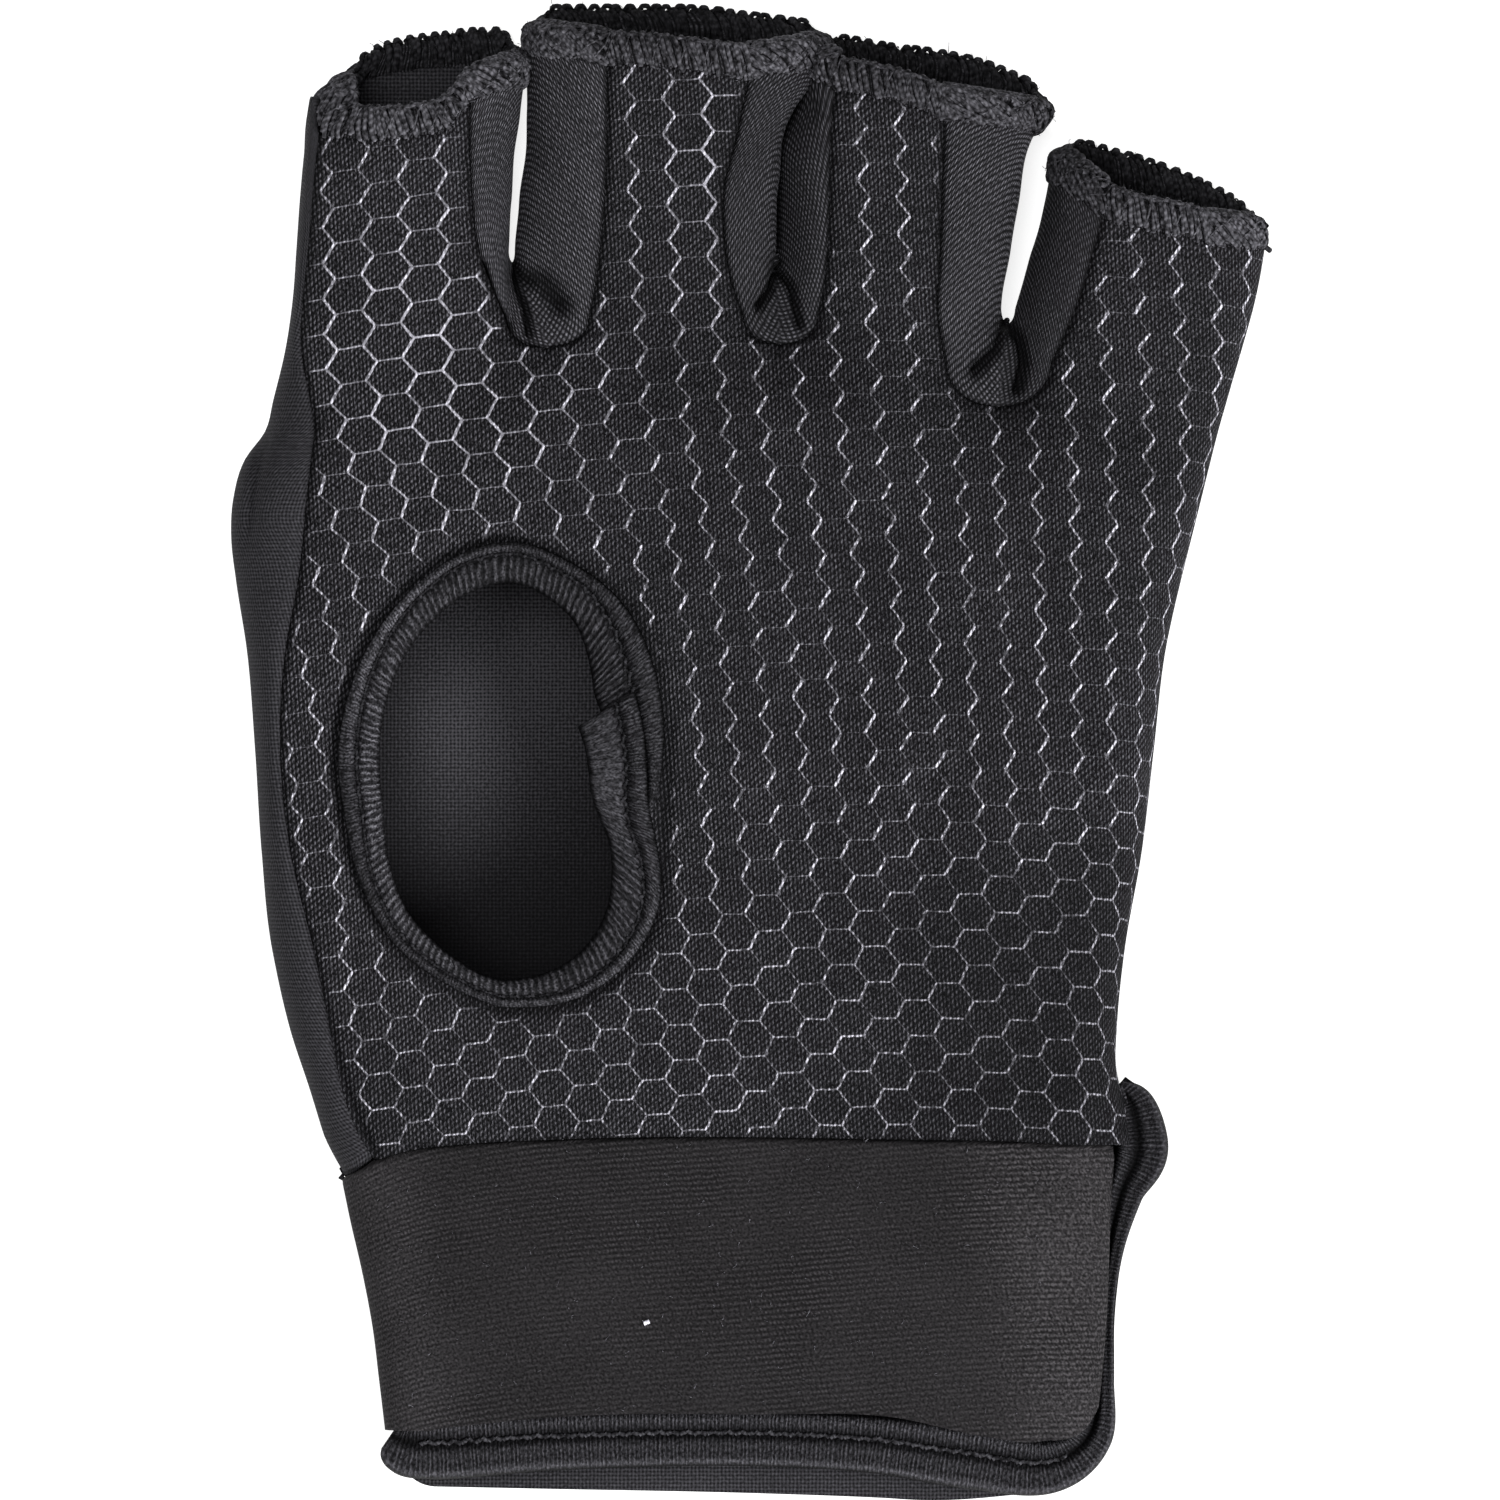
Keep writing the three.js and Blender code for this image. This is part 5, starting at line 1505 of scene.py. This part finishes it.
def cuff_front_parts():
    share = np.linspace(0, 1, 130 // FINE)
    xs = np.linspace(-36.5, 34.5, 100 // FINE)
    y = cuff_y(xs[None, :], share[:, None])
    left, right = CUFF.at("left", y) + CUFF_SHOULDER, CUFF.at("right", y) - CUFF_SHOULDER
    x = lerp(left, right, ((xs - xs[0]) / (xs[-1] - xs[0]))[None, :])
    top = np.stack([x, y, cuff_top(x, y)], -1)
    turns = np.linspace(0.62, 0, 26 // FINE)[:-1]
    left_plan = cuff_plan("left", cuff_y(CUFF_FOLD, share))
    left_side = side_points(left_plan, turns, cuff_top, CUFF_FLOOR)
    drop = CUFF_SEAM.at("shift", left_side[..., 0]) - CUFF_SEAM.at("shift", CUFF_FOLD)
    left_side[..., 1] += drop * (1 - share)[:, None]
    right_side = []
    for turn in np.linspace(0, CUFF_TURN, 16 // FINE)[1:]:
        near = CUFF.at("right", -70.0) - CUFF_SHOULDER * (1 - turn / CUFF_TURN)
        right_plan = cuff_plan("right", cuff_y(near, share))
        right_side.append(side_points(right_plan, np.array([turn]), cuff_top, CUFF_FLOOR))
    grid = np.concatenate([left_side, top, *right_side], 1)[::-1]
    from_top = CUFF_TOP + CUFF_SEAM.at("shift", grid[..., 0]) - grid[..., 1]
    tuck = 0.9 * hump(from_top, 0.6) * lerp(1, 0.2, eased(33, 37, grid[..., 0]))
    grid = grid - normals_of(grid) * tuck[..., None]
    grid[..., 2] -= 0.9 * np.clip(1 - (share[::-1, None] * 30.0), 0, 1) ** 2
    return grid, np.stack([lengths(grid, 1), grid[..., 1] - CUFF_LEAN.at("rise", grid[..., 0])], -1)


cuff_grid, cuff_cloth = cuff_front_parts()
cuff_front = make_piece(
    "cuff_front_layer", [(cuff_grid, cuff_cloth)], "cuff_front", cuff_rib, wall=1.3
)


def cuff_back_grid():
    rows = np.linspace(-72.2, CUFF_TOP + 2, 60 // FINE)
    plan = cuff_plan("left", rows)
    side = side_points(plan, np.linspace(0.66, 1, 10)[:-1], cuff_top, CUFF_FLOOR)
    ends = plan[2][:, 0], CUFF.at("back_right", rows)
    x = lerp(ends[0][:, None], ends[1][:, None], np.linspace(0, 1, 80 // FINE))
    y = rows[:, None] + 0 * x
    flat = np.stack([x, y, CUFF_FLOOR + 0.15 * soft_noise(x, y, 8, 83)], -1)
    return np.concatenate([side, flat], 1)[:, ::-1]


back_grid = cuff_back_grid()
cuff_back = make_piece(
    "cuff_back_layer", [(back_grid, back_grid[..., :2])], "cuff_back", cuff_rib, wall=1.3
)

# %% [markdown]
# The tape along the edge is swept along a smooth line. Its section is that of a folded tape: a roll along the
# cloth, a stitched groove, a flat, and the light folded edge outside.

# %% Build the cuff's edge tape
EDGE = Table(
    "step x y z width",
    (0, -39.6, -75.4, 3.4, 3.2),
    (0.4, -38.4, -76.2, 3.5, 6.2),
    (1, -35.0, -76.6, 3.6, 7.0),
    (2, -22.0, -75.8, 3.6, 6.7),
    (3, -4.0, -75.4, 3.6, 6.4),
    (4, 12.0, -76.0, 3.6, 6.5),
    (5, 24.0, -77.7, 3.6, 6.9),
    (6, 32.6, -78.6, 3.7, 6.2),
    (7, 37.5, -75.4, 3.8, 4.6),
    (8, 38.5, -69.0, 4.1, 3.0),
    (9, 38.7, -62.0, 4.4, 2.6),
    (10, 39.5, -55.0, 4.6, 3.0),
    (11, 41.0, -48.8, 4.8, 4.2),
    (12, 43.0, -43.0, 4.8, 5.8),
    (12.5, 42.2, -38.9, 4.7, 4.4),
    (13, 40.4, -36.7, 4.2, 1.4),
)
EDGE_SECTION = Table(  # from the side next to the glove to the folded outer edge
    "share height",
    (0.0, -1.2),
    (0.05, 0.6),
    (0.14, 1.6),
    (0.24, 1.7),
    (0.34, 1.0),
    (0.41, 0.2),
    (0.46, 0.3),
    (0.54, 0.9),
    (0.72, 1.1),
    (0.86, 1.35),
    (0.95, 1.1),
    (1.0, -0.4),
)
EDGE_RISE = 0.7


def edge_tape():
    step = np.linspace(0, EDGE.rows[-1, 0], 640 // FINE)
    line = np.stack([EDGE.at(c, step) for c in "xyz"], -1)
    forward = unit(np.gradient(line, axis=0))
    outward = unit(np.stack([forward[:, 1], -forward[:, 0], 0 * step], -1))
    share = np.linspace(0, 1, 32 // FINE)
    width = EDGE.at("width", step)[:, None]
    run = lengths(line)[:, None]
    grid = line[:, None] + outward[:, None] * ((share - 0.5) * width)[..., None]
    wave = 0.15 * soft_noise(run + 0 * share, share * 5 + 0 * run, 4, 91)
    closed = np.sqrt(np.clip(run / 2.5, 0, 1))
    grid[..., 2] += lerp(-0.3, EDGE_SECTION.at("height", share) + wave, closed)
    grid[..., 2] += EDGE_RISE
    return grid, np.stack(np.broadcast_arrays(run, share * 7), -1)


edge_grid, edge_cloth = edge_tape()
edge = make_piece(
    "cuff_edge_tape", [(edge_grid, edge_cloth)], "cuff_binding", tape_rib, wall=0.9, weld=0
)
stitching = zigzag(edge_grid, 0.42, 0.05, 0.75, 92, radius=0.27, lift=0.12, first=0.03, last=0.64)
edge_stitch = thread_piece("cuff_edge_stitch", stitching, edge_thread)

# %% [markdown]
# The strap lies flat under the cuff and shows as a narrow band below the tape. Its columns crowd towards its
# two round corners.

# %% Build the strap
STRAP_LEFT, STRAP_RIGHT, STRAP_TOP, STRAP_CORNER, STRAP_HEIGHT = -38.6, 37.6, -44.6, 4.0, 1.35
STRAP = Table(
    "x end",
    (STRAP_LEFT, -80.9),
    (-24.0, -81.2),
    (0.0, -81.7),
    (14.0, -82.2),
    (20.0, -82.5),
    (28.0, -82.0),
    (STRAP_RIGHT, -80.6),
)


def strap_grid():
    """A flat sheet with two round corners."""
    x = lerp(STRAP_LEFT, STRAP_RIGHT, (1 - np.cos(np.linspace(0, np.pi, 90 // FINE))) / 2)
    from_side = np.minimum(np.minimum(x - STRAP_LEFT, STRAP_RIGHT - x), STRAP_CORNER)
    corner = STRAP_CORNER - np.sqrt(STRAP_CORNER**2 - (STRAP_CORNER - from_side) ** 2)
    y = lerp(STRAP.at("end", x) + corner, STRAP_TOP, np.linspace(0, 1, 40 // FINE)[:, None])
    x = x + 0 * y
    return np.stack([x, y, STRAP_HEIGHT + 0.1 * soft_noise(x, y, 9, 95)], -1)


flat = strap_grid()
strap = make_piece("strap_cloth", [(flat, flat[..., :2])], "wrist_strap", jersey, wall=1.2)

# %% [markdown]
# ## The small things
#
# Black cloth collects lint and loose fibres, and without them it looks like plastic. The lint on the cuff is
# a few hundred tiny curled threads. One pale speck and two loose ends of thread lie on the glove as well.

# %% Lint, a pale speck and two loose ends
SPECK_X, SPECK_Y, SPECK_HALF = -11.3, -62.6, 0.3
LOOSE_ENDS = np.array([  # a knot where the back meets the cuff, and a thread's tail at the little finger's hem
    [(-44.3, -45.5, 5.2), (-44.8, -46.0, 5.6), (-44.5, -46.5, 5.4), (-44.9, -46.9, 5.8), (-44.3, -47.2, 5.0)],
    [(55.8, 56.9, 5.4), (56.2, 56.2, 5.8), (56.3, 55.6, 5.6), (56.7, 55.1, 5.6), (57.1, 54.8, 5.2)],
])


def lying(paths, radius):
    """Threads of 8 sides along paths that lie flat."""
    return thread_parts(paths, np.broadcast_to([0, 0, 1.0], paths.shape), radius, 8)


lint_count = 260
lint = thread_piece("lint", fuzz_parts(cuff_grid, lint_count, 97, False, length=0.8, margin=0.14), lint_thread)
speck_at = np.array([SPECK_X, SPECK_Y, cuff_top(np.array([SPECK_X]), np.array([SPECK_Y]))[0] + 0.3])
speck_path = speck_at + np.linspace(-SPECK_HALF, SPECK_HALF, 4)[:, None] * [1, 0.4, 0]
speck = thread_piece("pale_speck", lying(speck_path[None], 0.24), pale_lint)
ends = thread_piece("loose_ends", lying(LOOSE_ENDS, 0.3), black_thread)

# %% [markdown]
# ## What is cloth
#
# Every sheet's flat cut is printed: its size, and how much cloth it has.


NARROWEST = 0.012  # a narrow tape is cut at least this wide, with its raw edges folded in
LEAST_SHARE = 0.31  # of its rectangle that any piece fills


def declare(piece):
    """State a piece's flat cut: its area measured on one side, in a rectangle as long as the cloth."""
    mesh = piece.data
    corners = np.array([p.vertices[:] for p in mesh.polygons])
    a, b, c, d = read_all(mesh.vertices, "co", 3)[corners.T]
    area = 0.5 * np.linalg.norm(np.cross(c - a, d - b), axis=-1).sum()
    size = np.ptp(read_all(mesh.uv_layers["Cloth"].data, "uv", 2), axis=0) * 0.001
    flat = tuple(float(max(side, NARROWEST)) for side in size)
    area = float(np.clip(area, LEAST_SHARE * flat[0] * flat[1], flat[0] * flat[1]))
    print(f"{piece.name}: flat {flat[0] * 1000:.0f} x {flat[1] * 1000:.0f} mm, cloth {area * 1e4:.1f} cm2")


declare(palm)
declare(back)
for gusset in gussets:
    declare(gusset)
declare(thumb_tape)
declare(cuff_front)
declare(cuff_back)
declare(edge)
declare(strap)

# %% [markdown]
# ## Studio
#
# The glove lies on a light table, whose faint glow keeps the narrow gaps between the fingers white. A wide
# soft lamp stands low at the lower right, because the photographed folds shade towards the upper left. The
# camera looks straight down from far above, which keeps the outline free of perspective.

# %% Floor, light and camera
floor_shop = Shop("pale_floor", roughness=0.9, specular=0.1)
place = floor_shop.node("ShaderNodeNewGeometry")
grain = floor_shop.node("ShaderNodeTexNoise", None, {"Vector": place, "Scale": 40.0})
floor_shop.colour(floor_shop.mix(grain, (0.5, 0.5, 0.5, 1), (0.52, 0.52, 0.52, 1)))
floor_shop.surface.inputs["Emission Color"].default_value = (1, 1, 1, 1)
floor_shop.surface.inputs["Emission Strength"].default_value = 0.8
bpy.ops.mesh.primitive_plane_add(size=6)
floor = bpy.context.object
floor.name = "floor"
floor.data.materials.append(floor_shop.material)


def area_light(name, place, aim, size, power):
    lamp = bpy.data.lights.new(name, "AREA")
    lamp.shape, lamp.size, lamp.energy = "DISK", size, power
    made = bpy.data.objects.new(name, lamp)
    bpy.context.scene.collection.objects.link(made)
    made.location = place
    made.rotation_euler = (Vector(aim) - Vector(place)).to_track_quat("-Z", "Y").to_euler()


area_light("key", (0.75, -0.65, 0.95), (0, 0, 0), 0.5, 24)
area_light("fill", (-0.35, 0.1, 1.5), (0, 0, 0), 0.9, 14)
world = bpy.data.worlds.new("studio")
bpy.context.scene.world = world
world.use_nodes = True
world.node_tree.nodes["Background"].inputs["Color"].default_value = (1, 1, 1, 1)
world.node_tree.nodes["Background"].inputs["Strength"].default_value = 0.22
bpy.context.scene.view_settings.view_transform = "Standard"

CAMERA_HEIGHT, FRAME_WIDTH = 2.4, 0.165
camera_data = bpy.data.cameras.new("camera")
camera_data.sensor_width = 36
camera_data.lens = 36 * CAMERA_HEIGHT / FRAME_WIDTH
camera = bpy.data.objects.new("camera", camera_data)
camera.location = (0, 0, CAMERA_HEIGHT)
bpy.context.scene.collection.objects.link(camera)
bpy.context.scene.camera = camera
print("camera's height in m:", CAMERA_HEIGHT, "and lens in mm:", round(camera_data.lens, 1))
